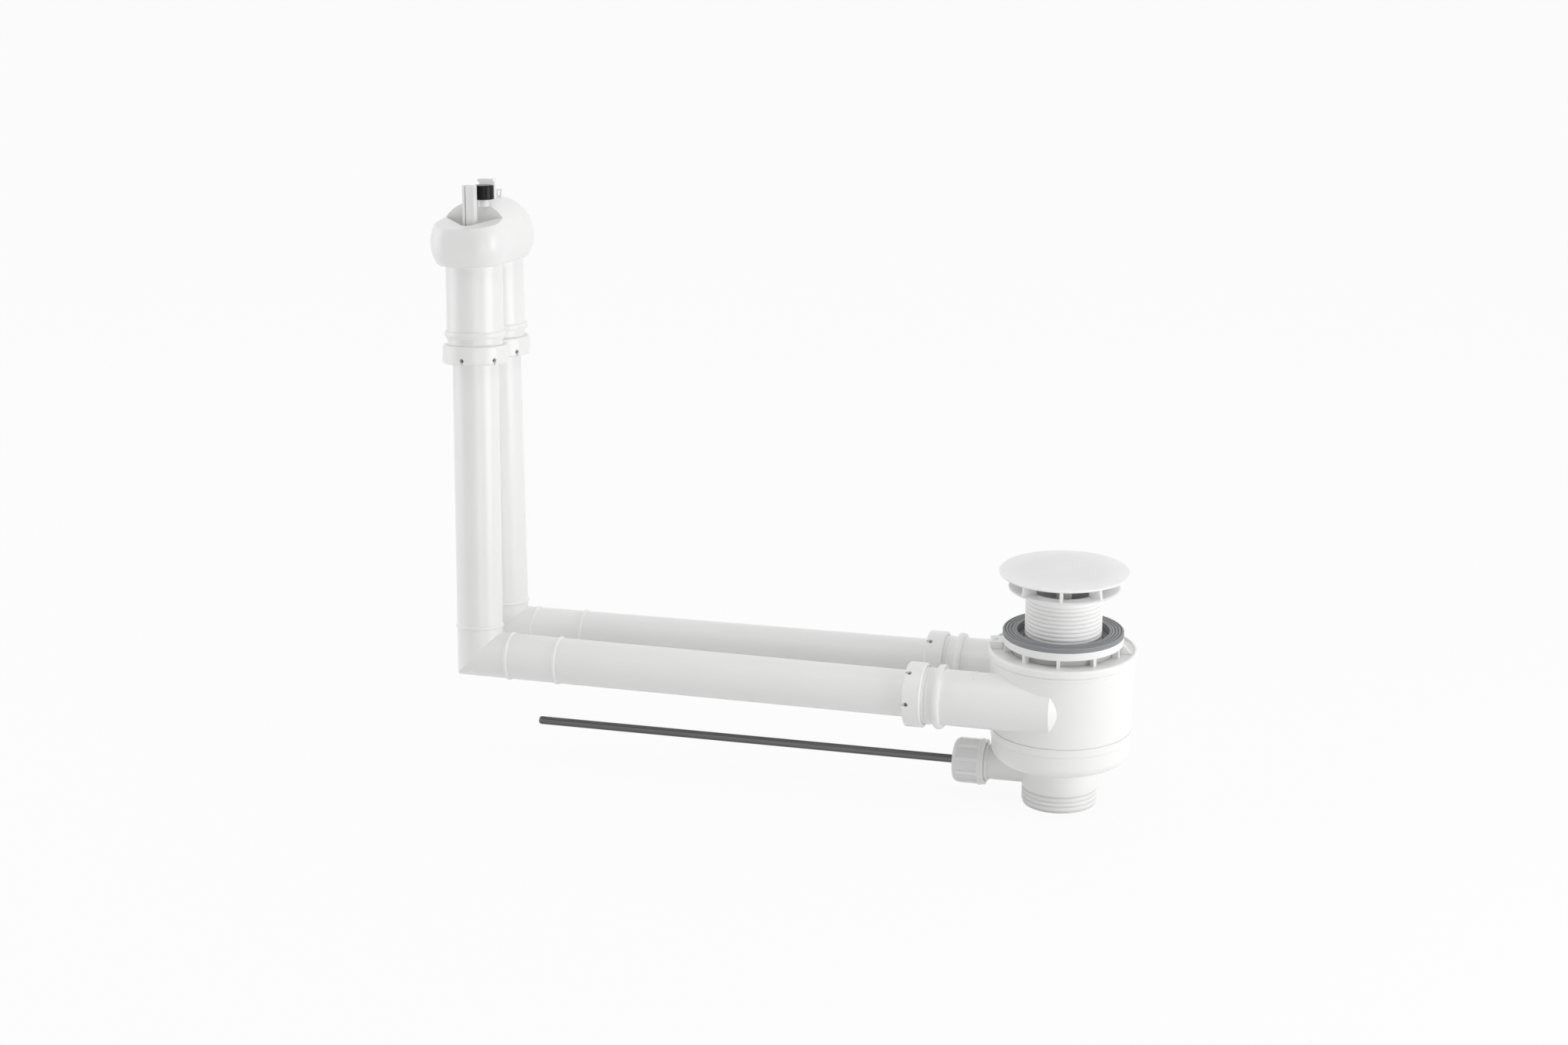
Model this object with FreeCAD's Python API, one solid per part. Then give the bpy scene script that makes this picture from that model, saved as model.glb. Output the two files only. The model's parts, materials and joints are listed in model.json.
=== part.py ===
"""Bath waste with a closed overflow loop, worked by a lever rod.

Millimetres, +Z up. The origin is on the axis of the waste, at the end face of the outlet.
The two pipe runs leave the waste towards -X and rise to the overflow head.
"""
import FreeCAD, Part

import math
import os

from FreeCAD import Placement, Rotation, Vector

os.makedirs("parts", exist_ok=True)

# Gap between pieces that are only put together
FIT_GAP = 0.25

# Outlet, at the bottom of the waste
OUTLET_RADIUS = 23.6
OUTLET_BORE_RADIUS = 20.4
OUTLET_LENGTH = 29.5
THREAD_PITCH = 3.0
THREAD_DEPTH = 0.7
FULL_TURN = 360.0
OUTLET_THREAD_TURNS = 3

# Base shell, below the seam
BASE_RADIUS = 43.2
BASE_DEPTH = 21.1
BASE_EDGE_RADIUS = 7.5
BASE_WALL = 2.6
BASE_BAND_HEIGHT = 5.6
BASE_BAND_STEP = 0.7
VALVE_SEAT_RADIUS = 18.4
VALVE_SEAT_WALL = 2.4
VALVE_SEAT_LIP = 1.6

# Valve plate, clamped between base and housing
PLATE_THICKNESS = 3.0
PLATE_SEAL_WIDTH = 3.0
PLATE_SEAL_THICKNESS = 1.2
DUCT_LENGTH = 24.0
DUCT_START = 8.0
DUCT_INNER_OFFSET = 25.5
DUCT_WALL = 2.0

# Housing, from the seam up to the deck
HOUSING_HEIGHT = 50.0
HOUSING_WALL = 2.6
HOUSING_FLARE = 1.3
SEAM_GROOVE = 0.6
RIM_RADIUS = 46.3
RIM_HEIGHT = 5.2
RIM_STEP_HEIGHT = 2.2
RIM_STEP = 0.45
DECK_DROP = 1.2
POCKET_DEPTH = 6.0
SEAT_GAP = 5.0
SEAT_RADIUS = 37.5
SEAT_THICKNESS = 5.0
SEAT_BORE_RADIUS = 30.0
SEAT_LEDGE_DROP = 3.2
NECK_WALL = 2.5
NECK_LENGTH = 14.4
RIB_COUNT = 10
RIB_THICKNESS = 2.0
RIB_START_ANGLE = 23.6
RIB_INSET = 0.2
GUSSET_ANGLE = 0.0
GUSSET_DROP = 3.6
GUSSET_INSET = 3.3
GUSSET_THICKNESS = 1.4
TAB_ANGLE = 187.0
TAB_WIDTH = 12.0
TAB_HEIGHT = 4.8
NUB_RADIUS = 1.5
NUB_HEIGHT = 1.0
TAB_ROOT = 1.0

# Bath gasket
GASKET_THICKNESS = 2.8
GASKET_WALL = 1.3
GASKET_RIDGES = 3
GASKET_RIDGE_HEIGHT = 0.35
GASKET_RIDGE_PITCH = 1.9

# Flange with its threaded tube, dish and fins
TUBE_RADIUS = 23.9
TUBE_WALL = 2.6
TUBE_LENGTH = 43.0
TUBE_COLLAR = 6.2
TUBE_THREAD_PITCH = 2.72
FLANGE_RADIUS = 34.6
FLANGE_EDGE = 1.4
DISH_DROP = 1.7
DISH_THICKNESS = 2.4
THROAT_EDGE = 0.8
CLAMP_GAP = 27.4
FIN_COUNT = 8
FIN_THICKNESS = 1.9
FIN_START_ANGLE = -83.5
FIN_INSET = 0.4
FIN_INNER_RADIUS = 23.3
FIN_HEIGHT = 8.2
FIN_LEAN = 1.3
CROSS_DEPTH = 12.0
CROSS_HEIGHT = 5.0
CROSS_THICKNESS = 2.0
CROSS_HUB_WALL = 1.8

# Cover cap and its post
CAP_RADIUS = 40.5
CAP_EDGE = 1.5
CAP_RISE = 1.6
CAP_POST_RADIUS = 4.7
CAP_POST_CLEARANCE = 0.1

# Plug, moved by the lever rod
PLUG_LIFT = 7.0
PLUG_RADIUS = 20.0
PLUG_DISC = 3.0
PLUG_SEAL_THICKNESS = 2.4
PLUG_SEAL_OVERHANG = 1.6
STEM_RADIUS = 3.5
WING_THICKNESS = 1.8
WING_LENGTH = 16.0
WING_CLEARANCE = 0.4

# Lever rod, its ball and its nut
ROD_HEIGHT = 21.0
ROD_RADIUS = 2.6
ROD_OUTER_REACH = 342.0
ROD_INNER_REACH = 5.0
BALL_RADIUS = 6.5
BALL_DISTANCE = 58.0
BALL_CLEARANCE = 0.08
BALL_BORE_CLEARANCE = 0.03
ROD_REST_GAP = 0.3
ROD_SPIGOT_RADIUS = 10.5
ROD_SPIGOT_BORE_RADIUS = 9.1
ROD_SPIGOT_LENGTH = 44.7
ROD_THREAD_RADIUS = 11.9
ROD_NUT_RADIUS = 13.9
ROD_NUT_END = 67.0
ROD_NUT_COLLAR = 2.4
ROD_NUT_COLLAR_RADIUS = 14.3
ROD_NUT_RING_RADIUS = 14.7
ROD_NUT_RING_WIDTH = 1.5
ROD_NUT_EDGE_RADIUS = 3.2
ROD_NUT_RIBS = 10
ROD_NUT_RIB_START = 5.0
ROD_NUT_RIB_WIDTH = 2.2
ROD_NUT_RIB_RISE = 0.6

# Pipe runs, one on each side of the waste
RUN_HEIGHT = 73.4
RUN_OFFSET = 31.5
RUN_TOE_IN = 0.82
RUN_LEAN_IN = 1.1
RUN_LENGTH = 372.0
RISER_LENGTH = 189.9
RISER_LEAN = 7.0
ELBOW_OPENING = 2.5
PIPE_RADIUS = 14.6
PIPE_WALL = 1.8
PIPE_CLEARANCE = 0.25
PIPE_INSERTION = 24.0
BEAD_RISE = 0.8
BEAD_WIDTH = 2.6
BEAD_DISTANCES = (22.4, 54.6)
RISER_BEAD_HEIGHT = 17.0
RISER_BEAD_WIDTH = 2.4
ELBOW_CORNER_REACH = 18.8

# Union sockets and nuts
SOCKET_RADIUS = 17.4
SOCKET_THREAD_RADIUS = 17.9
BRANCH_MOUTH = 88.2
BRANCH_RING_RADIUS = 20.2
HEAD_SOCKET_RADIUS = 18.0
HEAD_RING_RADIUS = 19.4
BRANCH_RING_DISTANCE = 16.2
HEAD_RING_DISTANCE = 13.4
RING_WIDTH = 4.0
NUT_RADIUS = 20.2
RISER_NUT_RADIUS = 20.7
NUT_LENGTH = 11.8
NUT_FACE = 2.0
NUT_CLEARANCE = 0.25
NUT_EDGE_RADIUS = 1.2
NUT_SLOTS = 6
NUT_SLOT_WIDTH = 1.8
NUT_SLOT_DEPTH = 3.0
NUT_SLOT_HOLE_RADIUS = 1.4
BRANCH_SLOT_START = 90.0
RISER_SLOT_START = 84.5
SEAL_THICKNESS = 0.9
SEAL_GAP = 0.05
BRANCH_END_OFFSET = 0.4
BRANCH_END_TAPER = 8.0
FRONT_BORE_END = 10.0
DUCT_END_OFFSET = -1.5
DUCT_END_ANGLE = -20.0

# Overflow head, in its own frame with Z up the risers and its mouths at zero
HEAD_RISE = 73.7
HEAD_RADIUS = 24.4
HEAD_DEPTH = 14.8
HEAD_HALF_LENGTH = 43.8
HEAD_SHIFT = -2.4
HEAD_END_RADIUS = 17.0
HEAD_LOWER_EDGE = 5.0
HEAD_WALL = 2.4
LEDGE_RISE = 14.6
LEDGE_SLOPE = 9.6
LEDGE_WALL_OFFSET = 17.0
LEDGE_WALL_ANGLE = -6.5
LEDGE_FLOOR = 3.0
POCKET_TIP = -41.0
POCKET_TIP_SIDE = 1.5
POCKET_TIP_RADIUS = 5.0
POCKET_HALF_WIDTH = 18.2
VENT_RADIUS = 6.5
VENT_HEIGHT = 9.0
VENT_POST_RADIUS = 3.8
VENT_POST_WALL = 1.2
VENT_POST_HEIGHT = 1.5
VENT_POST_GRIP = 5.0
VENT_POST_ROOT = 2.8
VENT_FIT = 0.05
VENT_SIDE = 6.4
VENT_OFFSET = -17.0
CLIP_WIDTH = 7.6
CLIP_DEPTH = 6.0
CLIP_WALL = 1.6
CLIP_RISE = 11.3
CLIP_ROOT = 33.6
CLIP_SIDE = 1.6
CLIP_OFFSET = -33.0
HOOK_WIDTH = 10.4
HOOK_THICKNESS = 3.0
HOOK_RISE = 12.4
HOOK_ROOT = 4.0
HOOK_REACH = 3.0
HOOK_SIDE = 0.4
HOOK_OFFSET = 7.0
LOOP_WIDTH = 4.2
LOOP_THICKNESS = 2.0
LOOP_FRAME = 1.1
LOOP_RISE = 4.9
LOOP_ROOT = 2.0
LOOP_SIDE = 3.8
LOOP_OFFSET = 19.0

# Heights that follow from the sizes above
SEAM_HEIGHT = OUTLET_LENGTH + BASE_DEPTH
DECK_HEIGHT = SEAM_HEIGHT + HOUSING_HEIGHT
SEAT_UNDERSIDE = DECK_HEIGHT + SEAT_GAP
SEAT_TOP = SEAT_UNDERSIDE + SEAT_THICKNESS
LEDGE_TOP = SEAT_TOP - SEAT_LEDGE_DROP
GASKET_TOP = SEAT_TOP + GASKET_THICKNESS
LIP_HEIGHT = GASKET_TOP + CLAMP_GAP
FIN_TOP = LIP_HEIGHT + FLANGE_EDGE + FIN_HEIGHT
THROAT_HEIGHT = LIP_HEIGHT + FLANGE_EDGE - DISH_DROP
CROSS_TOP = THROAT_HEIGHT - CROSS_DEPTH
PLATE_RADIUS = BASE_RADIUS + BASE_BAND_STEP - BASE_WALL
PLATE_TOP = SEAM_HEIGHT
PLATE_BOTTOM = SEAM_HEIGHT - PLATE_THICKNESS
SEAT_LIP_TOP = PLATE_TOP + VALVE_SEAT_LIP
PLUG_SEAL_BOTTOM = SEAT_LIP_TOP + PLUG_LIFT
PLUG_BOTTOM = PLUG_SEAL_BOTTOM + PLUG_SEAL_THICKNESS
SOCKET_BORE_RADIUS = PIPE_RADIUS + PIPE_CLEARANCE
NUT_HOLE_RADIUS = PIPE_RADIUS + PIPE_CLEARANCE
BRANCH_NUT_FACE = BRANCH_MOUTH + NUT_FACE
HEAD_TOP = HEAD_RISE + HEAD_RADIUS
ELBOW_OFFSET = RUN_OFFSET - RUN_LENGTH * math.sin(math.radians(RUN_TOE_IN))
HEAD_DROP = 2 * ELBOW_OFFSET * math.sin(math.radians(RISER_LEAN))
RIM_BOTTOM = DECK_HEIGHT + DECK_DROP - RIM_HEIGHT

X_AXIS = Vector(1, 0, 0)
Y_AXIS = Vector(0, 1, 0)
Z_AXIS = Vector(0, 0, 1)


def turned(points):
    """Turns a closed outline of (radius, height) points about the Z axis."""
    corners = [Vector(r, 0, z) for r, z in points]
    outline = Part.Face(Part.makePolygon(corners + corners[:1]))
    return outline.revolve(Vector(), Z_AXIS, FULL_TURN)


def rod(radius, bottom, top):
    """A round bar on the Z axis."""
    return Part.makeCylinder(radius, top - bottom, Vector(0, 0, bottom))


def ring(inner, outer, bottom, top):
    """A plain ring on the Z axis."""
    return rod(outer, bottom, top).cut(rod(inner, bottom - 1, top + 1))


def block(x_range, y_range, z_range):
    """A box between two values on each axis."""
    size = [high - low for low, high in (x_range, y_range, z_range)]
    return Part.makeBox(*size, Vector(x_range[0], y_range[0], z_range[0]))


def spun(shape, angle):
    """A copy turned about the Z axis."""
    return shape.copy().rotate(Vector(), Z_AXIS, angle)


def around(shape, count, start=0.0):
    """Copies of a shape spread evenly about the Z axis."""
    return [spun(shape, start + FULL_TURN * i / count) for i in range(count)]


def along_minus_x(shape):
    """Lays a shape built up the Z axis along -X."""
    return shape.copy().rotate(Vector(), Y_AXIS, -90)


def along_x(shape):
    """Lays a shape built up the Z axis along +X."""
    return shape.copy().rotate(Vector(), Y_AXIS, 90)


def level_edges(shape, height=None):
    """Edges that lie level, or only those at one height."""
    edges = [e for e in shape.Edges if e.BoundBox.ZLength < 0.1 and e.BoundBox.XLength > 1]
    if height is None:
        return edges
    return [e for e in edges if abs(e.BoundBox.ZMin - height) < 0.1]


def thread_ridges(root, crest, start, turns, pitch=THREAD_PITCH):
    """Coarse rounded ridges that stand for the turns of a moulded thread."""
    ridges = []
    half = pitch / 2
    for i in range(turns):
        z = start + i * pitch
        ridges.append(
            turned(
                [
                    (root - 0.8, z),
                    (root, z),
                    (crest, z + half * 0.7),
                    (crest, z + half * 1.3),
                    (root, z + pitch),
                    (root - 0.8, z + pitch),
                ]
            )
        )
    return ridges


def bead(radius, rise, width, start):
    """A rounded bead around a pipe, as a ring that reaches into its wall."""
    face = Part.Face(
        Part.Wire(
            [
                Part.Arc(
                    Vector(radius, 0, start),
                    Vector(radius + rise, 0, start + width / 2),
                    Vector(radius, 0, start + width),
                ).toShape(),
                Part.makeLine(Vector(radius, 0, start + width), Vector(radius - 0.5, 0, start + width)),
                Part.makeLine(Vector(radius - 0.5, 0, start + width), Vector(radius - 0.5, 0, start)),
                Part.makeLine(Vector(radius - 0.5, 0, start), Vector(radius, 0, start)),
            ]
        )
    )
    return face.revolve(Vector(), Z_AXIS, FULL_TURN)


def branch_placement(side):
    """Places the frame of a side branch, with its axis along local X."""
    return Placement(Vector(0, side * RUN_OFFSET, RUN_HEIGHT), Rotation(Z_AXIS, side * RUN_TOE_IN))


def run_placement(side):
    """Places the frame of a pipe run, turned in its branch so that the riser leans back."""
    turn = Rotation(X_AXIS, side * RUN_LEAN_IN - RISER_LEAN)
    return branch_placement(side).multiply(Placement(Vector(), turn))


def head_placement():
    """Places the frame of the head, midway between the two risers."""
    turn = Rotation(X_AXIS, -RISER_LEAN).multiply(Rotation(Y_AXIS, -ELBOW_OPENING))
    corner = Vector(-RUN_LENGTH * math.cos(math.radians(RUN_TOE_IN)), 0, RUN_HEIGHT)
    return Placement(corner + turn.multVec(Vector(0, 0, RISER_LENGTH - HEAD_DROP / 2)), turn)


def placed(shape, placement):
    """A copy of a shape, moved by a placement."""
    moved = shape.copy()
    moved.Placement = placement.multiply(moved.Placement)
    return moved


def on_branch(shape, side):
    """Moves a shape from the frame of a side branch to the frame of the part."""
    return placed(shape, branch_placement(side))


def on_run(shape, side):
    """Moves a shape from the frame of a pipe run to the frame of the part."""
    return placed(shape, run_placement(side))


def on_head(shape):
    """Moves a shape from the frame of the head to the frame of the part."""
    return placed(shape, head_placement())


def on_riser(shape):
    """Moves a shape built on the Z axis to the riser, in the frame of a pipe run."""
    moved = shape.copy()
    moved.rotate(Vector(), Y_AXIS, -ELBOW_OPENING)
    moved.translate(Vector(-RUN_LENGTH, 0, 0))
    return moved


def riser_mouth(side):
    """Distance from the corner of a run to the mouth of its socket in the head."""
    return RISER_LENGTH - (HEAD_DROP if side > 0 else 0)


def fused(shapes):
    """Joins shapes to one solid and clears the seams between their faces."""
    return shapes[0].multiFuse(shapes[1:]).removeSplitter()


def base_profile():
    """Outer form of the base with its rounded lower edge and its upper band."""
    edge_top = OUTLET_LENGTH + BASE_EDGE_RADIUS
    band = SEAM_HEIGHT - BASE_BAND_HEIGHT
    corner = BASE_RADIUS - BASE_EDGE_RADIUS
    middle = BASE_EDGE_RADIUS * (1 - math.sqrt(0.5))
    points = [
        Vector(0, 0, OUTLET_LENGTH),
        Vector(corner, 0, OUTLET_LENGTH),
        Vector(BASE_RADIUS, 0, edge_top),
        Vector(BASE_RADIUS, 0, band - BASE_BAND_STEP),
        Vector(BASE_RADIUS + BASE_BAND_STEP, 0, band),
        Vector(BASE_RADIUS + BASE_BAND_STEP, 0, SEAM_HEIGHT - SEAM_GROOVE),
        Vector(BASE_RADIUS, 0, SEAM_HEIGHT - SEAM_GROOVE),
        Vector(BASE_RADIUS, 0, SEAM_HEIGHT),
        Vector(0, 0, SEAM_HEIGHT),
    ]
    bend = Part.Arc(points[1], Vector(BASE_RADIUS - middle, 0, OUTLET_LENGTH + middle), points[2]).toShape()
    edges = [Part.makeLine(points[0], points[1]), bend]
    edges += [Part.makeLine(a, b) for a, b in zip(points[2:], points[3:] + points[:1])]
    return Part.Face(Part.Wire(edges)).revolve(Vector(), Z_AXIS, FULL_TURN)


def base_cavity():
    """Inside of the base, an open bowl around the raised valve seat."""
    floor = OUTLET_LENGTH + BASE_WALL
    inner = BASE_RADIUS - BASE_WALL
    bowl = rod(inner, floor, SEAM_HEIGHT + 1)
    return bowl.makeFillet(BASE_EDGE_RADIUS - BASE_WALL, level_edges(bowl, floor))


def rod_spigot_form():
    """Outside of the side spigot that the lever rod passes through."""
    tube = rod(ROD_SPIGOT_RADIUS, OUTLET_RADIUS - BASE_WALL, ROD_SPIGOT_LENGTH)
    threaded = rod(ROD_THREAD_RADIUS - 0.5, ROD_SPIGOT_LENGTH, BALL_DISTANCE)
    turns = int((BALL_DISTANCE - ROD_SPIGOT_LENGTH) / THREAD_PITCH)
    ridges = thread_ridges(ROD_THREAD_RADIUS - 0.6, ROD_THREAD_RADIUS, ROD_SPIGOT_LENGTH, turns)
    return along_minus_x(fused([tube, threaded] + ridges))


def rod_spigot_bore():
    """Bore of the side spigot, with a wider pocket for the ball and its seat."""
    pocket = rod(BALL_RADIUS + 3.2, BALL_DISTANCE - BALL_RADIUS - 3.0, BALL_DISTANCE + 1)
    passage = rod(ROD_SPIGOT_BORE_RADIUS, OUTLET_BORE_RADIUS - 4, BALL_DISTANCE - BALL_RADIUS - 2.5)
    return along_minus_x(fused([passage, pocket]))


def waste_base():
    """Lower shell with the threaded outlet, the valve seat wall and the rod spigot."""
    outlet = rod(OUTLET_RADIUS - THREAD_DEPTH, 0, OUTLET_LENGTH + 1)
    plain = rod(OUTLET_RADIUS, OUTLET_THREAD_TURNS * THREAD_PITCH + 2, OUTLET_LENGTH + 1)
    ridges = thread_ridges(OUTLET_RADIUS - THREAD_DEPTH, OUTLET_RADIUS, 1.0, OUTLET_THREAD_TURNS)
    shell = base_profile().cut(base_cavity())
    spigot = rod_spigot_form().translate(Vector(0, 0, ROD_HEIGHT))
    body = fused([shell, outlet, plain, spigot] + ridges)
    body = body.cut(rod(OUTLET_BORE_RADIUS, -1, OUTLET_LENGTH + BASE_WALL + 1))
    body = body.cut(rod_spigot_bore().translate(Vector(0, 0, ROD_HEIGHT)))
    recess = rod(PLATE_RADIUS + FIT_GAP, PLATE_BOTTOM, SEAM_HEIGHT + 1)
    return body.cut(recess)


def duct_outline(margin, bottom, top):
    """Upright duct that carries the returning overflow through the valve plate."""
    outer = PLATE_RADIUS - PLATE_SEAL_WIDTH - DUCT_WALL
    x_range = (-DUCT_START - DUCT_LENGTH - margin, -DUCT_START + margin)
    y_range = (DUCT_INNER_OFFSET - margin, outer + margin)
    return block(x_range, y_range, (bottom, top)).common(rod(outer + margin, bottom, top))


def valve_plate():
    """Round partition with the raised valve seat and the return opening."""
    plate = rod(PLATE_RADIUS, PLATE_BOTTOM, PLATE_TOP)
    seat = rod(VALVE_SEAT_RADIUS + VALVE_SEAT_WALL, PLATE_BOTTOM, SEAT_LIP_TOP)
    body = fused([plate, seat])
    body = body.cut(rod(VALVE_SEAT_RADIUS, PLATE_BOTTOM - 1, SEAT_LIP_TOP + 1))
    return body.cut(duct_outline(0, PLATE_BOTTOM - 1, PLATE_TOP + 1))


def plate_seal():
    """Flat rubber ring between the plate and the shoulder of the housing."""
    inner = PLATE_RADIUS - PLATE_SEAL_WIDTH
    return ring(inner, PLATE_RADIUS, PLATE_TOP, PLATE_TOP + PLATE_SEAL_THICKNESS)


def housing_shell():
    """Flared wall, rim and deck of the housing, turned in one outline."""
    foot = BASE_RADIUS + BASE_BAND_STEP
    waist = foot + HOUSING_FLARE
    shoulder = PLATE_TOP + PLATE_SEAL_THICKNESS
    ledge = PLATE_RADIUS - PLATE_SEAL_WIDTH
    inner = foot - HOUSING_WALL
    rim_top = DECK_HEIGHT + DECK_DROP
    return turned(
        [
            (inner + FIT_GAP, SEAM_HEIGHT),
            (foot, SEAM_HEIGHT),
            (waist, RIM_BOTTOM - RIM_STEP_HEIGHT),
            (waist + RIM_STEP, RIM_BOTTOM - RIM_STEP_HEIGHT + RIM_STEP),
            (waist + RIM_STEP, RIM_BOTTOM - RIM_STEP),
            (waist, RIM_BOTTOM),
            (RIM_RADIUS, RIM_BOTTOM + 0.8),
            (RIM_RADIUS, rim_top - 1.4),
            (RIM_RADIUS - 0.5, rim_top - 0.4),
            (RIM_RADIUS - 1.4, rim_top),
            (waist - 0.8, rim_top),
            (waist - 1.6, DECK_HEIGHT),
            (SEAT_BORE_RADIUS, DECK_HEIGHT),
            (SEAT_BORE_RADIUS, DECK_HEIGHT - HOUSING_WALL),
            (waist - HOUSING_WALL, DECK_HEIGHT - HOUSING_WALL),
            (inner + HOUSING_FLARE * 0.2, shoulder + 4),
            (ledge, shoulder + 2.4),
            (ledge, shoulder),
            (inner + FIT_GAP, shoulder),
        ]
    )


def seat_and_neck():
    """Round seat for the gasket, its stepped bore and the threaded neck."""
    wall_radius = SEAT_BORE_RADIUS + NECK_WALL
    neck_radius = TUBE_RADIUS + FIT_GAP
    return turned(
        [
            (neck_radius, LEDGE_TOP - NECK_LENGTH),
            (neck_radius + NECK_WALL, LEDGE_TOP - NECK_LENGTH),
            (neck_radius + NECK_WALL, LEDGE_TOP - NECK_WALL),
            (SEAT_BORE_RADIUS, LEDGE_TOP - NECK_WALL),
            (SEAT_BORE_RADIUS, DECK_HEIGHT - POCKET_DEPTH - NECK_WALL),
            (SEAT_RADIUS, DECK_HEIGHT - POCKET_DEPTH - NECK_WALL),
            (SEAT_RADIUS, DECK_HEIGHT),
            (SEAT_RADIUS - NECK_WALL * 0.6, DECK_HEIGHT),
            (SEAT_RADIUS - NECK_WALL * 0.6, DECK_HEIGHT - POCKET_DEPTH),
            (wall_radius, DECK_HEIGHT - POCKET_DEPTH),
            (wall_radius, SEAT_UNDERSIDE),
            (SEAT_RADIUS - 0.4, SEAT_UNDERSIDE),
            (SEAT_RADIUS, SEAT_UNDERSIDE + 0.4),
            (SEAT_RADIUS, SEAT_TOP),
            (SEAT_BORE_RADIUS, SEAT_TOP),
            (SEAT_BORE_RADIUS, LEDGE_TOP),
            (neck_radius, LEDGE_TOP),
        ]
    )


def seat_ribs():
    """Radial ribs that carry the seat above the deck."""
    rib = block(
        (SEAT_BORE_RADIUS + 1, SEAT_RADIUS - RIB_INSET),
        (-RIB_THICKNESS / 2, RIB_THICKNESS / 2),
        (DECK_HEIGHT - POCKET_DEPTH - 0.5, SEAT_UNDERSIDE + 1),
    )
    return around(rib, RIB_COUNT, RIB_START_ANGLE)


def seat_gusset():
    """Thin triangular web from the edge of the seat down to the rim."""
    reach = RIM_RADIUS - GUSSET_INSET
    corners = [
        Vector(SEAT_RADIUS - 1, 0, SEAT_TOP - GUSSET_DROP),
        Vector(SEAT_RADIUS + 0.4, 0, SEAT_TOP - GUSSET_DROP),
        Vector(reach, 0, DECK_HEIGHT + 0.4),
        Vector(reach, 0, DECK_HEIGHT - 1),
        Vector(SEAT_RADIUS - 1, 0, DECK_HEIGHT - 1),
    ]
    web = Part.Face(Part.makePolygon(corners + corners[:1])).extrude(Vector(0, GUSSET_THICKNESS, 0))
    return spun(web.translate(Vector(0, -GUSSET_THICKNESS / 2, 0)), GUSSET_ANGLE)


def rim_tab():
    """Small block with a nub that stands on the rim."""
    tab = block(
        (SEAT_RADIUS - TAB_ROOT, RIM_RADIUS - 1.2),
        (-TAB_WIDTH / 2, TAB_WIDTH / 2),
        (DECK_HEIGHT - 1, DECK_HEIGHT + TAB_HEIGHT),
    )
    nub = Part.makeCylinder(
        NUB_RADIUS, NUB_HEIGHT + 1, Vector((SEAT_RADIUS + RIM_RADIUS) / 2, 0, DECK_HEIGHT + TAB_HEIGHT - 1)
    )
    return spun(fused([tab, nub]), TAB_ANGLE)


def socket_form(mouth, length, radius, ring_radius, thread_end):
    """Outside of a union socket, from its mouth inwards, along +Z."""
    parts = [
        rod(SOCKET_THREAD_RADIUS - 0.4, mouth, mouth + thread_end),
        rod(radius, mouth + thread_end - 1, mouth + length),
        rod(ring_radius - 0.6, mouth + thread_end, mouth + thread_end + RING_WIDTH),
        bead(ring_radius - 0.6, 0.6, RING_WIDTH, mouth + thread_end),
    ]
    turns = int(thread_end / THREAD_PITCH) - 1
    parts += thread_ridges(SOCKET_THREAD_RADIUS - 0.5, SOCKET_THREAD_RADIUS, mouth + 1, turns)
    return fused(parts)


def duct_end():
    """Space beyond the slanted face that ends the back branch inside the waste."""
    reach = 3 * SOCKET_RADIUS
    beyond = block((0, 2 * reach), (-reach, reach), (-reach, reach))
    beyond.rotate(Vector(), Z_AXIS, DUCT_END_ANGLE)
    return on_branch(beyond.translate(Vector(DUCT_END_OFFSET, SOCKET_RADIUS, 0)), 1)


def branch_form(side):
    """Outside of a side branch, from its mouth to its tapered end."""
    length = BRANCH_MOUTH + BRANCH_END_OFFSET
    socket = socket_form(-BRANCH_MOUTH, length, SOCKET_RADIUS, BRANCH_RING_RADIUS, BRANCH_RING_DISTANCE)
    end_radius = SOCKET_RADIUS - BRANCH_END_TAPER
    taper = Part.makeCone(SOCKET_RADIUS, end_radius, BRANCH_END_TAPER, Vector(0, 0, BRANCH_END_OFFSET))
    return on_branch(along_minus_x(fused([socket, taper]).mirror(Vector(), Z_AXIS)), side)


def branch_bore(side, end):
    """Bore of a side branch: the socket for the pipe, then the narrower passage."""
    socket = rod(SOCKET_BORE_RADIUS, BRANCH_MOUTH - PIPE_INSERTION, BRANCH_MOUTH + 1)
    passage = rod(PIPE_RADIUS - PIPE_WALL, end, BRANCH_MOUTH)
    return on_branch(along_minus_x(fused([socket, passage])), side)


def waste_housing():
    """Upper moulding: flared wall, deck, gasket seat, neck and both side branches."""
    shell = housing_shell()
    foot = BASE_RADIUS + BASE_BAND_STEP
    chamber = rod(foot - HOUSING_WALL, SEAM_HEIGHT, DECK_HEIGHT - HOUSING_WALL)
    front = branch_form(-1).cut(chamber)
    back = branch_form(1).cut(duct_end().common(chamber))
    duct = duct_outline(DUCT_WALL, PLATE_TOP, RUN_HEIGHT)
    body = fused([shell, seat_and_neck(), front, back, duct, rim_tab(), seat_gusset()] + seat_ribs())
    body = body.cut(branch_bore(-1, FRONT_BORE_END))
    body = body.cut(branch_bore(1, DUCT_START))
    return body.cut(duct_outline(0, PLATE_TOP - 1, RUN_HEIGHT))


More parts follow.
